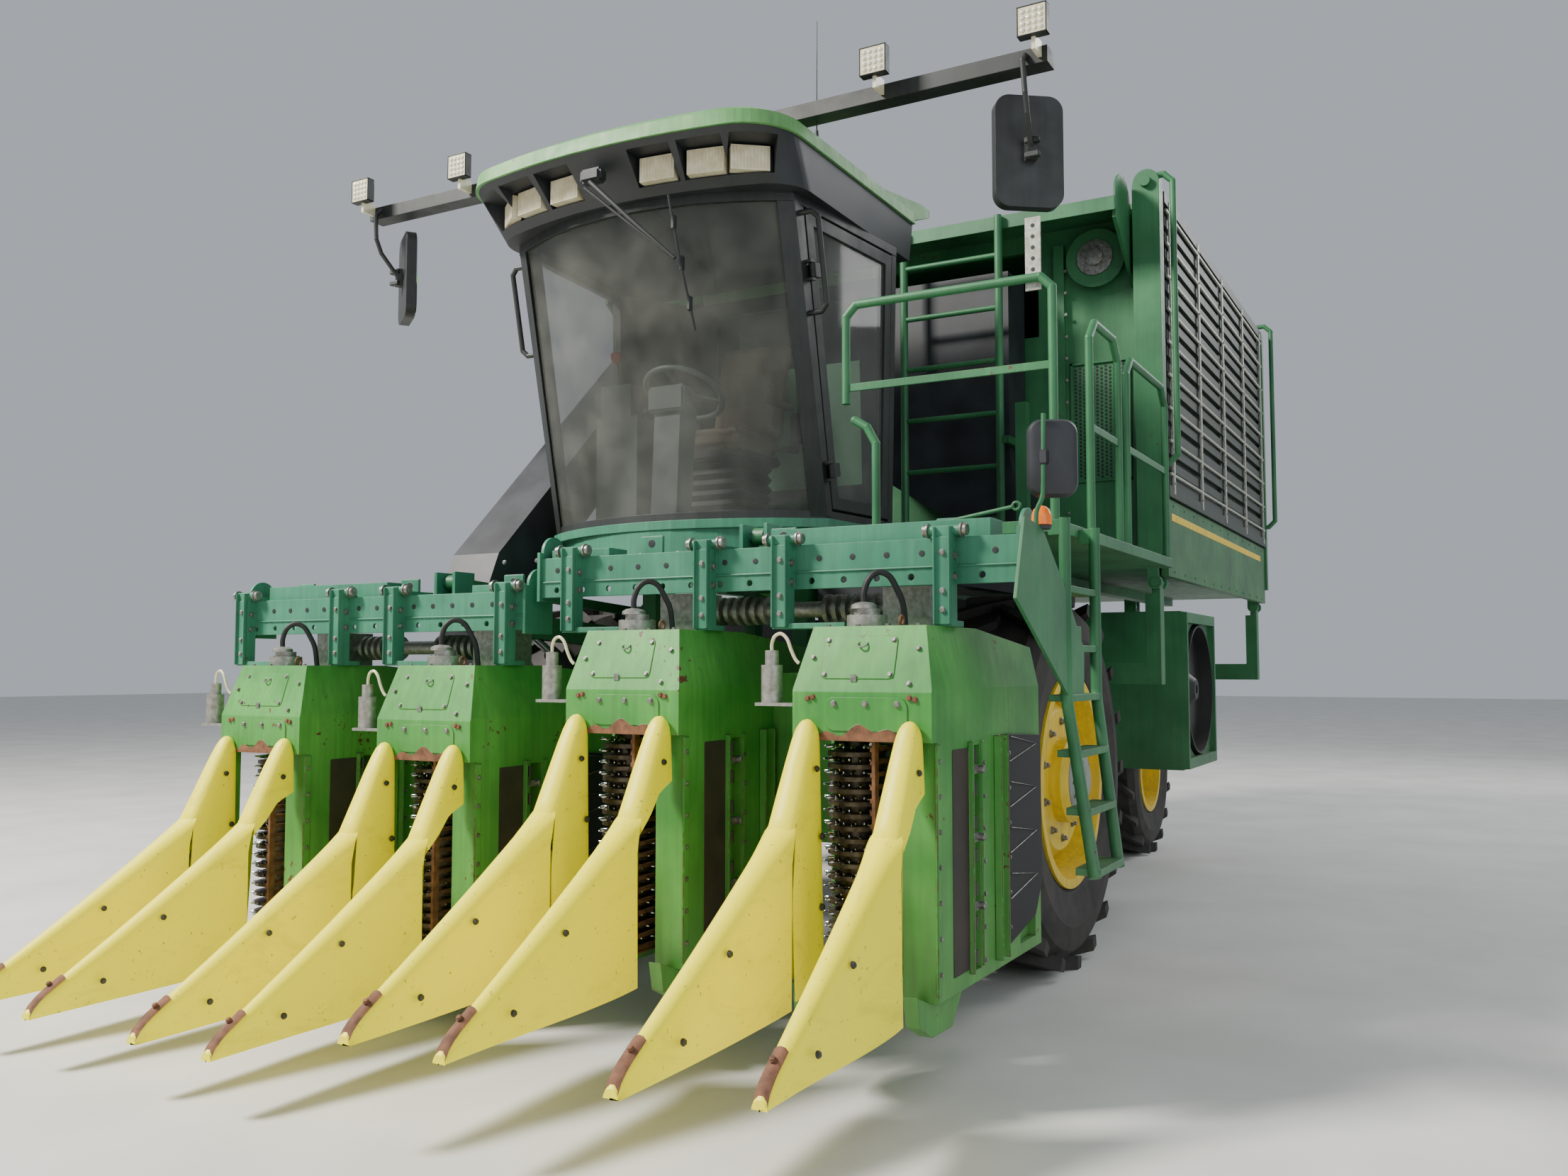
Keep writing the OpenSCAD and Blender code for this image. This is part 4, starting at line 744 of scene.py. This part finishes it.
# %% Flank
FLANK = 0.2525  # the left flank's distance from the row
POSTS = (  # two corners of each upright, the second number counted from the flank, and its bevel
    (0.425, -0.004, -1.40, 0.462, 0.006, -0.605, 0.003),  # corner post
    (0.03, -0.004, -1.38, 0.055, 0.008, -0.61, 0.003),  # the door's seam
    (0.136, -0.004, -1.38, 0.156, 0.008, -0.61, 0.003),  # and the strip with its hinges
    (0.166, 0.0, -1.385, 0.176, 0.02, -0.61, 0.002),  # edge of the dark opening
    (-0.09, -0.002, -1.39, -0.082, 0.03, -0.60, 0.002),  # the channel's front lip
    (-0.16, -0.002, -1.39, -0.152, 0.03, -0.60, 0.002),  # its rear lip
    (-0.16, -0.002, -1.39, -0.082, 0.004, -0.60, 0.002),  # and its web
)


def head_flank(put, row):
    """Posts, hinges and latches of the press door, painted shade in its opening, and the rubber flap with its
    wires.
    """
    def on_flank(x, u, z):
        return put(x, row + FLANK + u, z)
    for *low, x, u, z, bevel in POSTS:
        bar(on_flank(*low), on_flank(x, u, z), bevel)
    for z in in_a_row(-0.66, -0.112, 7):
        bolt(on_flank(0.443, 0.006, z), LEFT, 0.008)
        bolt(on_flank(0.0425, 0.008, z - 0.03), LEFT, 0.008)
        lathe(on_flank(0.147, 0.012, z - 0.02), UP, [(0, 0.009), (0.045, 0.009)], 10, BLACK)
    knob = [(0, 0.014), (0.02, 0.013), (0.024, 0.008)]
    for z in (-0.72, -0.95, -1.18):
        bar(on_flank(0.10, 0.002, z), on_flank(0.16, 0.016, z + 0.03), 0.003, BOLTS)
        lathe(on_flank(0.112, 0.014, z + 0.015), LEFT, knob, 12, BOLTS)
    # Painted shade: a dark plate stands for the shade inside the door's opening
    opening = round_outline(0.15, 0.74, 0.006, 2, du=0.245, dv=-1.0)
    plate(opening, 0.0025, lambda x, z, h: on_flank(x, h, z), 0.001, DARK)
    flap = [(-0.58, -0.62), (-0.19, -0.60), (-0.185, -1.36), (-0.50, -1.30), (-0.585, -1.18)]
    plate(flap, 0.005, lambda x, z, h: on_flank(x, 0.008 + h, z), 0.001, RUBBER)
    for step, x, u, size in ((-0.13, -0.121, 0.004, 0.010), (-0.125, -0.205, 0.013, 0.008)):
        for z in in_a_row(-0.67, step, 6):
            bolt(on_flank(x, u, z), LEFT, size)
    for z in in_a_row(-0.70, -0.165, 4):
        wire = [on_flank(x, 0.0155, z + up) for x, up in ((-0.21, 0), (-0.52, 0.05), (-0.22, 0.09))]
        tube(wire, 0.002, 5, BOLTS)


print("uprights on a flank:", len(POSTS))

# %% [markdown]
# On top of the head are a row of bolts, a rusty lifting eye and the cast lid of the moistener's feed.


# %% Top of the head
def head_top(put, row):
    """Bolts, lifting eye and the round lid with six screws."""
    for u in (-0.16, -0.05, 0.06, 0.17):
        bolt(put(0.40, row + u, -0.22), UP, 0.009)
    torus(put(0.375, row + 0.1, -0.203), LEFT, 0.016, 0.005, RUST)
    lid = [(0, 0.045), (0.012, 0.044), (0.02, 0.03), (0.024, 0.008)]
    lathe(put(0.33, row - 0.06, -0.158), UP, lid, 24, CAST)
    for a in around(6):
        x, u = 0.315 + 0.057 * math.cos(a), -0.055 + 0.057 * math.sin(a)
        bolt(put(x, row + u, -0.181), UP, 0.006)


head_parts = [header_enamel, zinc_plate, rusted_steel, black_enamel, cast_aluminium, opening_painted_shade, soft_rubber]
for half, rows in ROWS.items():
    for row in rows:
        for trim in (head_face, head_flank, head_top):
            trim(header_at(half), row)
    piece(f"{half}_head_trim", f"{half}_header", head_parts)
print("heads trimmed:", sum(len(rows) for rows in ROWS.values()))

# %% [markdown]
# ## Spindles
# Each drum carries rings of barbed spindles that wind the fibre off the boll. A spindle is a slim cone of
# chromed steel, 12 mm thick where it leaves its bush. Here twelve stand on each of the drum's eighteen rings.

# %% Spindles on the drums
RINGS, ON_A_RING = 18, 12
DRUM_RADIUS = 0.07  # where the spindles' roots stand
SPINDLE = [(0, 0.009), (0.012, 0.009), (0.014, 0.0062), (0.046, 0.0045), (0.05, 0.001)]
for number in (1, 2, 3, 4):
    low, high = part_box(f"row_{number}_drum")
    middle = (low + high) / 2
    pitch = (high.z - low.z - 0.02) / RINGS
    for ring in range(RINGS):
        z = low.z + 0.012 + pitch * (ring + 0.5)
        for a in around(ON_A_RING, 0.5 * (ring % 2)):
            out = Vector((math.cos(a), math.sin(a), 0))
            lathe(Vector((middle.x, middle.y, z)) + out * DRUM_RADIUS, out, SPINDLE, 7)
    piece(f"row_{number}_spindles", f"row_{number}_rotor", chrome_rod, 40)
print("spindles:", 4 * RINGS * ON_A_RING)

# %% [markdown]
# ## Toolbars and hangers
# Two channels hang each row unit over its toolbar. A pin with washer and nut crosses each one above the bar,
# and bolts tie it to the head. The flange under the bar has holes for other row widths. A hole that goes
# nowhere shows as a black disc of painted shade, which costs far fewer faces than a real one.

# %% Nuts, bolts and brackets of the toolbars
HANGERS = (-0.430, 0.200)  # each row's two hangers, counted from the row
PIN_END = [(-0.002, 0.026), (0.004, 0.026), (0.005, 0.021), (0.018, 0.021), (0.021, 0.017)]
FLANGE_ENDS = {"left": (-0.14, 1.91), "right": (-0.19, -1.91)}
HOLES = 15  # across the flange, where no hanger hides them
HOLE = [(-0.004, 0.011), (0.0012, 0.011), (0.0016, 0.008)]


def hanger(put, y):
    """Side plates, front strap, pin and bolts of one hanger."""
    for way in (-1, 1):
        lathe(put(0.233, y + way * 0.0605, 0.108), (0, way, 0), PIN_END, 20, BOLTS)
        cheek = y + way * 0.0275
        bar(put(0.209, cheek - 0.004, -0.215), put(0.274, cheek + 0.004, 0.118), 0.002)
    bar(put(0.2575, y - 0.0315, -0.215), put(0.262, y + 0.0315, 0.086), 0.0015)
    for z in (0.03, -0.10, -0.165):
        bolt(put(0.262, y, z), FORWARD, 0.010)
    for z in (-0.05, 0.02):
        bolt(put(0.235, y + 0.0325, z), LEFT, 0.012)


for half, rows in ROWS.items():
    put = header_at(half)
    side = 1 if half == "left" else -1
    places = [row + offset for row in rows for offset in HANGERS]
    for y in places:
        hanger(put, y)
    inner, outer = FLANGE_ENDS[half]
    # The flange's holes are black discs of painted shade
    for i in range(HOLES):
        y = inner + (outer - inner) * (i + 0.7) / (HOLES + 0.4)
        if min(abs(y - place) for place in places) > 0.06:
            lathe(put(0.2082, y, 0.035), FORWARD, HOLE, 14, 2)
    # Weld seam along the flange, and the small plates on top
    seam = [put(0.209 + 0.0012 * (i % 2), inner + (outer - inner) * i / 90, -0.013) for i in range(91)]
    tube(seam, 0.0045, 6)
    for y in (0.35, 0.95, 1.62):
        bar(put(0.10, side * y - 0.055, 0.085), put(0.112, side * y + 0.055, 0.165), 0.003)
        # Each small plate's hole is a black disc of painted shade
        eye = [(-0.002, 0.016), (0.0012, 0.016), (0.0016, 0.012)]
        lathe(put(0.112, side * y, 0.135), FORWARD, eye, 16, 2)
    piece(f"{half}_toolbar_trim", f"{half}_header", [toolbar_enamel, zinc_plate, black_vinyl_and_hole_shade])
print("hangers bolted:", len(HANGERS) * sum(len(rows) for rows in ROWS.values()))

# %% [markdown]
# The left end of the deck carries a mirror on a bent rod and an amber marker lamp. The mirror's shell is one
# rounded outline at five depths. A thin stay with a ring reaches along the left toolbar.

# %% Mirror, marker lamp and stay at the left end
POST_Y = 1.961  # the rod and the lamp stand over the ladder's side plate
turn = Matrix.Rotation(math.radians(28), 3, "Z")
centre = at(1.854, 1.995, 2.105)


def on_mirror(u, v, h):
    """A place on the mirror, h in front of its glass."""
    return centre + turn @ Vector((-h, u, v))


rod = [at(1.918, POST_Y, 1.86), at(1.918, POST_Y, 1.93), at(1.918, 1.985, 1.97), at(1.918, 1.99, 2.25)]
bent_pipe(rod, 0.008, 0.04)
shape = round_outline(0.165, 0.26, 0.045, 6)
ring_strip([[on_mirror(u * k, v * k, h) for u, v in shape] for k, h in
            ((0.72, -0.055), (0.93, -0.045), (1.0, -0.03), (1.0, -0.004), (0.97, 0.0))], 1)
plate([(u * 0.9, v * 0.93) for u, v in shape], 0.0015, on_mirror, index=2)
bar(at(1.90, 1.975, 2.08), at(1.93, 2.005, 2.13), 0.004, 1)
lathe(at(1.86, POST_Y, 1.872), UP, [(0, 0.030), (0.012, 0.034), (0.014, 0.03)], 20, 1)
dome = [(0, 0.034), (0.03, 0.034), (0.052, 0.027), (0.062, 0.016), (0.066, 0.003)]
lathe(at(1.86, POST_Y, 1.886), UP, dome, 24, 3)
piece("deck_mirror", "chassis", [green_enamel, black_polyethylene, mirror_glass, amber_lens])

put = header_at("left")
bent_pipe([put(0.14, 1.43, 0.08), put(0.14, 1.44, 0.12), put(0.15, 1.86, 0.185)], 0.007, 0.03)
torus(put(0.15, 1.872, 0.187), FORWARD, 0.013, 0.005)
piece("toolbar_stay", "left_header", green_enamel)
print("mirror at", tuple(round(v, 2) for v in centre))

# %% [markdown]
# ## Cab
# Behind the tinted windscreen are a sprung seat in quilted cloth, the steering wheel and a console with
# levers. The cushions start as plain boxes and are blown up as cloth with a little pressure inside, which
# rounds them as foam under a sewn cover is rounded.

# %% Cushions
GRID = 0.009  # spacing of the cushions' cloth
LAST_FRAME = 20  # of the cloth's simulation
MOST_SWELL = 0.015
SEAM = 0.006  # half the width of a sewn groove


def blow_up(made):
    """Swells a closed cloth by pressure from inside, by no more than MOST_SWELL."""
    scene = bpy.context.scene
    before = [v.co.copy() for v in made.data.vertices]
    cloth = made.modifiers.new("cloth", "CLOTH")
    cloth.settings.use_pressure = True
    cloth.settings.uniform_pressure_force = 4
    cloth.settings.effector_weights.gravity = 0
    cloth.point_cache.frame_start, cloth.point_cache.frame_end = 1, LAST_FRAME
    for frame_number in range(1, LAST_FRAME + 1):
        scene.frame_set(frame_number)
    bpy.ops.object.modifier_apply(modifier=cloth.name)
    scene.frame_set(1)
    for v, rest in zip(made.data.vertices, before):
        move = v.co - rest
        if move.length > MOST_SWELL:
            v.co = rest + move.normalized() * MOST_SWELL


def groove(at_place, seams):
    """How deep a place lies in the nearest of the seams: one on it, nothing away from it."""
    return max((math.exp(-((at_place - seam) / SEAM) ** 2) for seam in seams), default=0)


def cushion(name, size, place, lean, sewn=()):
    """A padded box of a size, leaning back by lean degrees, with sewn grooves across it at given y."""
    bar([-s / 2 + 0.008 for s in size], [s / 2 - 0.008 for s in size], 0.022)
    made = new_object(name, take(name))
    bpy.context.view_layer.objects.active = made
    made.select_set(True)
    grid = made.modifiers.new("grid", "REMESH")
    grid.mode, grid.voxel_size = "VOXEL", GRID
    bpy.ops.object.modifier_apply(modifier=grid.name)
    blow_up(made)
    made.select_set(False)
    along = (-size[0] * 0.18, size[0] * 0.18) if sewn else ()
    for v in made.data.vertices:
        crown = 1 - 0.16 * ((v.co.y / size[1] * 2) ** 4 + (v.co.x / size[0] * 2) ** 4) / 2
        v.co.z *= crown * (1 - 0.14 * max(groove(v.co.y, sewn), groove(v.co.x, along)))
    data = made.data
    data.transform(Matrix.Translation(place) @ Matrix.Rotation(math.radians(lean), 4, "Y"))
    data.shade_smooth()
    data.materials.append(tan_fabric)
    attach(made, "chassis")
    return len(data.vertices)


counts = [cushion("seat_cushion", (0.44, 0.45, 0.11), at(0.71, 0, 2.495), 0, (-0.12, 0.12)),
          cushion("seat_back", (0.56, 0.43, 0.11), at(0.435, 0, 2.80), 78, (-0.11, 0.11))]
for name, side in (("right", -1), ("left", 1)):
    counts.append(cushion(f"armrest_{name}", (0.34, 0.065, 0.06), at(0.66, side * 0.28, 2.69), 0))
print("points in the cushions:", counts)

# %% [markdown]
# The seat stands on a sprung pedestal inside a rubber bellows. The pedestal is made of bars, and each fold of
# the bellows of three rounded outlines, the middle one wider.

# %% Seat pedestal
FOLDS = 7
bar(at(0.50, -0.21, 2.40), at(0.91, 0.21, 2.445), 0.012)
for z in in_a_row(2.06, 0.05, FOLDS):
    ring_strip([[at(0.70 + u * k, v * k, z + dz) for u, v in round_outline(0.36, 0.38, 0.05)]
                for k, dz in ((0.9, 0), (1.0, 0.024), (0.9, 0.048))])
bar(at(0.50, -0.20, 1.95), at(0.90, 0.20, 2.065), 0.006)
for side in (-1, 1):
    y = side * 0.28
    bar(at(0.47, y - 0.018, 2.47), at(0.51, y + 0.018, 2.67), 0.006)
    bar(at(0.47, side * 0.25 - 0.045, 2.475), at(0.52, side * 0.25 + 0.045, 2.505), 0.005)
    lathe(at(0.49, side * 0.302, 2.53), (0, side, 0), [(0, 0.022), (0.014, 0.021), (0.018, 0.014)], 20)
piece("seat_pedestal", "chassis", black_vinyl_and_hole_shade, replaced=["operator_seat"])
print("folds of the bellows:", FOLDS)

# %% [markdown]
# The console beside the seat carries the drive lever with its red knob and four small levers. Outside, the
# wiper has two arms side by side, a blade that follows the windscreen's slope, and three clips.

# %% Levers and wiper
bent_pipe([at(0.93, -0.47, 2.79), at(0.935, -0.47, 2.86), at(0.97, -0.46, 2.92)], 0.008, 0.03)
knob = [(0, 0.012), (0.012, 0.024), (0.04, 0.027), (0.055, 0.02), (0.06, 0.004)]
lathe(at(0.965, -0.46, 2.905), (0.3, 0, 1), knob, 20, 1)
lever = [(0, 0.006), (0.05, 0.005), (0.055, 0.012), (0.08, 0.011)]
for x in in_a_row(0.50, 0.09, 4):
    bar(at(x, -0.55, 2.64), at(x + 0.05, -0.38, 2.652), 0.004, 2)
    lathe(at(x + 0.025, -0.47, 2.65), UP, lever, 12)
bar(at(1.16, -0.1, 2.58), at(1.22, 0.1, 2.70), 0.012, 2)
piece("cab_levers", "chassis", [black_enamel, red_knob, grey_abs])

bar(at(1.735, -0.055, 3.455), at(1.795, 0.055, 3.515), 0.012)
pivot, tip = at(1.785, 0.0, 3.455), at(1.745, 0.405, 3.075)
tube([pivot, pivot.lerp(tip, 0.5) + Vector((0.02, 0, 0)), tip], [0.011, 0.009, 0.007])
tube([pivot + Vector((0, -0.03, -0.02)), tip + Vector((0, -0.03, 0.02))], 0.006, 8)
blade_top, blade_low = at(1.765, 0.385, 3.335), at(1.63, 0.43, 2.80)
tube([blade_top, blade_top.lerp(blade_low, 0.5) + Vector((0.012, 0, 0)), blade_low], 0.006, 8)
CLIP = Vector((0.012, 0.008, 0.03))  # half a clip's size
for share in (0.2, 0.5, 0.8):
    clip = blade_top.lerp(blade_low, share)
    bar(clip - CLIP, clip + CLIP, 0.003)
piece("windscreen_wiper", "chassis", black_enamel)
print("wiper's reach:", round((tip - pivot).length, 3))

# %% [markdown]
# The roof's lamps are light-emitting cells behind a black frame, with cooling fins at the back. The visor's
# lamps have ribbed cream lenses. The side mirrors get bright glass a little behind their shells' rims. A whip
# antenna stands on the roof.

# %% Lamp frames and cells
LAMP_Y = (1.13, 1.80)  # the roof's two lamps on each side
for y in [side * y for side in (-1, 1) for y in LAMP_Y]:
    border(at(1.353, y - 0.059, 3.826), at(1.397, y + 0.059, 3.944), 0.005, 0.0015)
    bar(at(1.351, y - 0.056, 3.829), at(1.356, y + 0.056, 3.941), 0.0015)
    for u in in_a_row(-0.045, 0.02, 5):
        bar(at(1.335, y + u, 3.84), at(1.352, y + u + 0.006, 3.93), 0.001)
    for u in in_a_row(-0.036, 0.024, 4):
        for z in in_a_row(3.849, 0.024, 4):
            cell = [(0, 0.0095), (0.003, 0.0085), (0.005, 0.004), (0.0055, 0.0005)]
            lathe(at(1.3948, y + u, z), FORWARD, cell, 12, 1)
piece("lamp_frames", "chassis", [black_enamel, led_lens])
print("cells in the roof's lamps:", 4 * 4 * 4)

# %% Side mirrors, antenna and lens ribs
ARM = Vector((0.014, 0.03, 0.012))  # half the size of a mirror's clamp
VISOR_LAMPS = ((0.250, 6, 1.677), (0.475, 12, 1.645), (0.665, 38, 1.575))  # y, turn in degrees, x
RIB = ((0, 0), (0.0045, 0.005), (0.0045, 0.007), (0, 0.012))  # a rib's section
for side in (-1, 1):
    turned = Matrix.Rotation(math.radians(36 * side), 3, "Z")
    centre = at(1.150, side * 1.700, 3.467)
    ring_strip([[centre + turned @ Vector((h, u * k, v * k)) for u, v in round_outline(0.255, 0.43, 0.05)]
                for k, h in ((1.0, -0.0262), (0.985, -0.031))])
    for z in (-0.03, 0.03):
        clamp = centre + turned @ Vector((0.062, 0, z))
        bar(clamp - ARM, clamp + ARM, 0.003, 1)
piece("side_mirrors", "chassis", [mirror_glass, black_enamel])

lathe(at(1.25, 0.80, 3.60), UP, [(0, 0.022), (0.05, 0.02), (0.06, 0.010), (0.11, 0.008)], 16)
tube([at(1.25, 0.80, 3.70), at(1.25, 0.80, 3.95), at(1.245, 0.80, 4.2)], [0.003, 0.0024, 0.0016], 6)
for side in (-1, 1):
    for y, degrees, x in VISOR_LAMPS:
        turned = Matrix.Rotation(math.radians(degrees * side), 3, "Z")
        lamp = at(x, y * side, 3.515)
        for u in in_a_row(-0.075, 0.014, 11):
            foot = Vector((-0.0265, u, -0.045))
            ring_strip([[lamp + turned @ (foot + Vector((dx, dy, z))) for dx, dy in RIB]
                        for z in (0, 0.09)], 1)
piece("antenna_and_lenses", "chassis", [black_enamel, cream_lens])
print("ribbed lenses:", 2 * len(VISOR_LAMPS))

# %% [markdown]
# ## Basket
# Bolt heads, flat strips and rivets tell how big the machine is. They follow the CAD model's edges: rows of
# bolts on the basket's posts, strips that hold the conveyor's slats together, the chain wheel of its drive,
# and a perforated screen on the front wall that lets the fan's air out.

# %% Basket and conveyor trim
for y in (-1.74, -1.35, 1.21, 1.70):
    for z in in_a_row(2.02, 0.125, 14):
        bolt(at(-0.9595, y + 0.02, z), FORWARD, 0.009)
for x in (-1.7, -2.4, -3.1, -3.8):
    for z in in_a_row(2.05, 0.25, 8):
        bolt(at(x + 0.03, -1.8105, z), (0, -1, 0), 0.010)
low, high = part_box("unloading_conveyor")
long, tall = high.x - low.x, high.z - low.z
for x in in_a_row(low.x + 0.12, (long - 0.24) / 4, 5):  # strips that hold the slats together
    bar((x - 0.02, high.y - 0.006, low.z + 0.02), (x + 0.02, high.y + 0.004, high.z - 0.03), 0.0015, 2)
    for z in in_a_row(low.z + 0.08, (tall - 0.16) / 8, 9):
        bolt((x, high.y + 0.004, z), LEFT, 0.007)
for z in in_a_row(low.z + 0.12, (tall - 0.22) / 8, 9):  # bright worn edges of every other slat
    bar((low.x + 0.04, high.y - 0.01, z), (high.x - 0.04, high.y + 0.003, z + 0.016), 0.002, 2)
low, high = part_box("side_panel")
stripe_low = (low.x + 0.2, high.y - 0.001, high.z - 0.115)  # a painted stripe
bar(stripe_low, (high.x - 0.1, high.y + 0.0008, high.z - 0.075), 0.0003, 3)
for x in in_a_row(low.x + 0.15, (high.x - low.x - 0.3) / 11, 12):
    for z in (low.z + 0.03, high.z - 0.03):
        rivet((x, high.y, z), LEFT)
print("conveyor", round(long, 2), "m long and", round(tall, 2), "m high")

# %% Chain wheel and perforated screen
CHAIN_X, CHAIN_Y, CHAIN_Z, RADIUS = -0.9395, 1.405, 3.69, 0.10
hub = RADIUS * 0.5
wheel = [(0, RADIUS), (0.012, RADIUS), (0.014, hub), (0.03, hub), (0.034, RADIUS * 0.3)]
lathe(at(CHAIN_X, CHAIN_Y, CHAIN_Z), FORWARD, wheel, 30, BOLTS)
for a in around(6):
    place = at(CHAIN_X + 0.012, CHAIN_Y + 0.075 * math.cos(a), CHAIN_Z + 0.075 * math.sin(a))
    bolt(place, FORWARD, 0.008)
SCREEN_X, SCREEN_Y, SCREEN_Z = -0.998, 1.24, 2.44  # the screen's low corner beside the ladder
COLUMNS, IN_A_COLUMN = 13, 30
# The screen's holes are black discs of painted shade
for i in range(COLUMNS):
    for z in in_a_row(SCREEN_Z + 0.03 + 0.0105 * (i % 2), 0.021, IN_A_COLUMN):
        spot = at(SCREEN_X, SCREEN_Y + 0.03 + i * 0.024, z)
        lathe(spot, FORWARD, [(-0.002, 0.0078), (0.0008, 0.0078), (0.001, 0.006)], 6, 4)
low = at(SCREEN_X - 0.004, SCREEN_Y, SCREEN_Z)
border(low, low + Vector((0.014, 0.34, 0.68)), 0.015, 0.002)
basket_parts = [green_enamel, zinc_plate, galvanised_steel, wheel_enamel, black_vinyl_and_hole_shade]
piece("basket_fasteners", "basket", basket_parts)
print("holes in the screen:", COLUMNS * IN_A_COLUMN)

# %% [markdown]
# ## Wheels
# Ten nuts on studs hold each front rim, and a domed grey cover with a ring of small bolts closes the final
# drive. The rear wheels have eight bolts. Each ring is one bolt repeated round the wheel's axle, and the
# piece rides on the wheel's body, so it turns with it.

# %% Wheel nuts and hub covers
hub_enamel = enamel("hub_enamel", "#7f8580", "#9aa09a", chips=0.3, roughness=0.5)
FRONT_Y, REAR_Y = 1.29, 0.8  # the wheels' distance from the centre plane
COVER = [(-SUNK, 0.166), (0.006, 0.163), (0.012, 0.148), (0.016, 0.1), (0.019, 0.092), (0.034, 0.088),
         (0.04, 0.07), (0.042, 0.02)]


def ring_of_places(centre, radius, count, turn=0.0):
    """Places on a circle round a wheel's axle."""
    return [centre + Vector((math.cos(a), 0, math.sin(a))) * radius for a in around(count, turn)]


for side, name in ((1, "left"), (-1, "right")):
    out = Vector((0, side, 0))
    low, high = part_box(f"front_{name}_rim")
    middle = (low + high) / 2
    dish = Vector((middle.x, MIDDLE + side * (FRONT_Y + 0.166), middle.z))
    cap = Vector((middle.x, MIDDLE + side * (FRONT_Y + 0.2502), middle.z))
    lathe(cap, out, COVER, 40, 2)
    for place in ring_of_places(cap, 0.13, 12):
        bolt(place + out * 0.012, out, 0.010)
    for place in ring_of_places(dish, 0.275, 10, 0.5):
        bolt(place, out, 0.018)
        lathe(place, out, [(0.004, 0.011), (0.024, 0.011), (0.027, 0.008)], 12, BOLTS)
    valve = middle + Vector((0.43, 0, 0.28))
    tube([valve + out * 0.055, valve + out * 0.10], 0.006, 8, 3)
    wheel_parts = [wheel_enamel, zinc_plate, hub_enamel, soft_rubber]
    piece(f"front_{name}_wheel_nuts", f"front_{name}_wheel", wheel_parts)

    low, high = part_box(f"rear_{name}_rim")
    middle = (low + high) / 2
    plane = Vector((middle.x, MIDDLE + side * (REAR_Y + 0.024), middle.z))
    for place in ring_of_places(plane, 0.125, 8):
        bolt(place, out, 0.016)
    piece(f"rear_{name}_wheel_nuts", f"rear_{name}_wheel", [wheel_enamel, zinc_plate])
print("wheels bolted on")

# %% [markdown]
# Bolts hold the deck's front edge, and a flat post with five holes stands on the front rail's corner.

# %% Deck bolts and the flat post
for y in in_a_row(-0.78, 0.195, 9):
    bolt(at(1.40, y, 1.905), FORWARD, 0.010)
bar(at(1.425, 1.775, 2.82), at(1.431, 1.835, 3.10), 0.001, 2)
# The post's five holes are black discs of painted shade
for z in in_a_row(2.90, 0.042, 5):
    lathe(at(1.431, 1.805, z), FORWARD, [(-SUNK, 0.008), (0.0008, 0.008), (0.001, 0.006)], 12, 3)
piece("deck_bolts", "chassis", [green_enamel, zinc_plate, galvanised_steel, black_vinyl_and_hole_shade])
print("deck fastened")

# %% [markdown]
# ## Hoses
# A moistener line leaves the canister beside each head and arches into its flank. A hydraulic hose rises
# from each head's lid and drops behind the toolbar. Each one's length along its path is printed.

# %% Hoses on the heads
CANISTER_ROUTE = [(0.445, -0.3575, -0.302), (0.445, -0.3575, -0.278), (0.448, -0.345, -0.252),
                  (0.452, -0.318, -0.243), (0.455, -0.292, -0.262), (0.455, -0.276, -0.30),
                  (0.452, -0.262, -0.33), (0.45, -0.249, -0.345)]  # x, y counted from the row, and z
FEED_ROUTE = [(0.33, -0.06, -0.14), (0.33, -0.06, -0.10), (0.322, -0.045, -0.055), (0.30, -0.02, -0.032),
              (0.275, 0.01, -0.045), (0.255, 0.03, -0.09), (0.24, 0.045, -0.14), (0.23, 0.05, -0.222)]


def hose(name, body, points, diameter, material):
    """A hose along points, both of whose ends are on the machine. Returns its length."""
    path = smooth_path(points)
    tube(path, diameter / 2)
    made = piece(name, body, material)
    length = sum((b - a).length for a, b in zip(path, path[1:]))
    return length


lengths = []
for half, rows in ROWS.items():
    put = header_at(half)
    for row in rows:
        side = "a" if abs(row) < 1 else "b"
        for kind, route, diameter, material in (("canister", CANISTER_ROUTE, 0.012, cream_lens),
                                                ("feed", FEED_ROUTE, 0.022, soft_rubber)):
            points = [put(x, row + u, z) for x, u, z in route]
            lengths.append(hose(f"{half}_{kind}_hose_{side}", f"{half}_header", points, diameter, material))
print("hose lengths", [round(v, 3) for v in lengths])
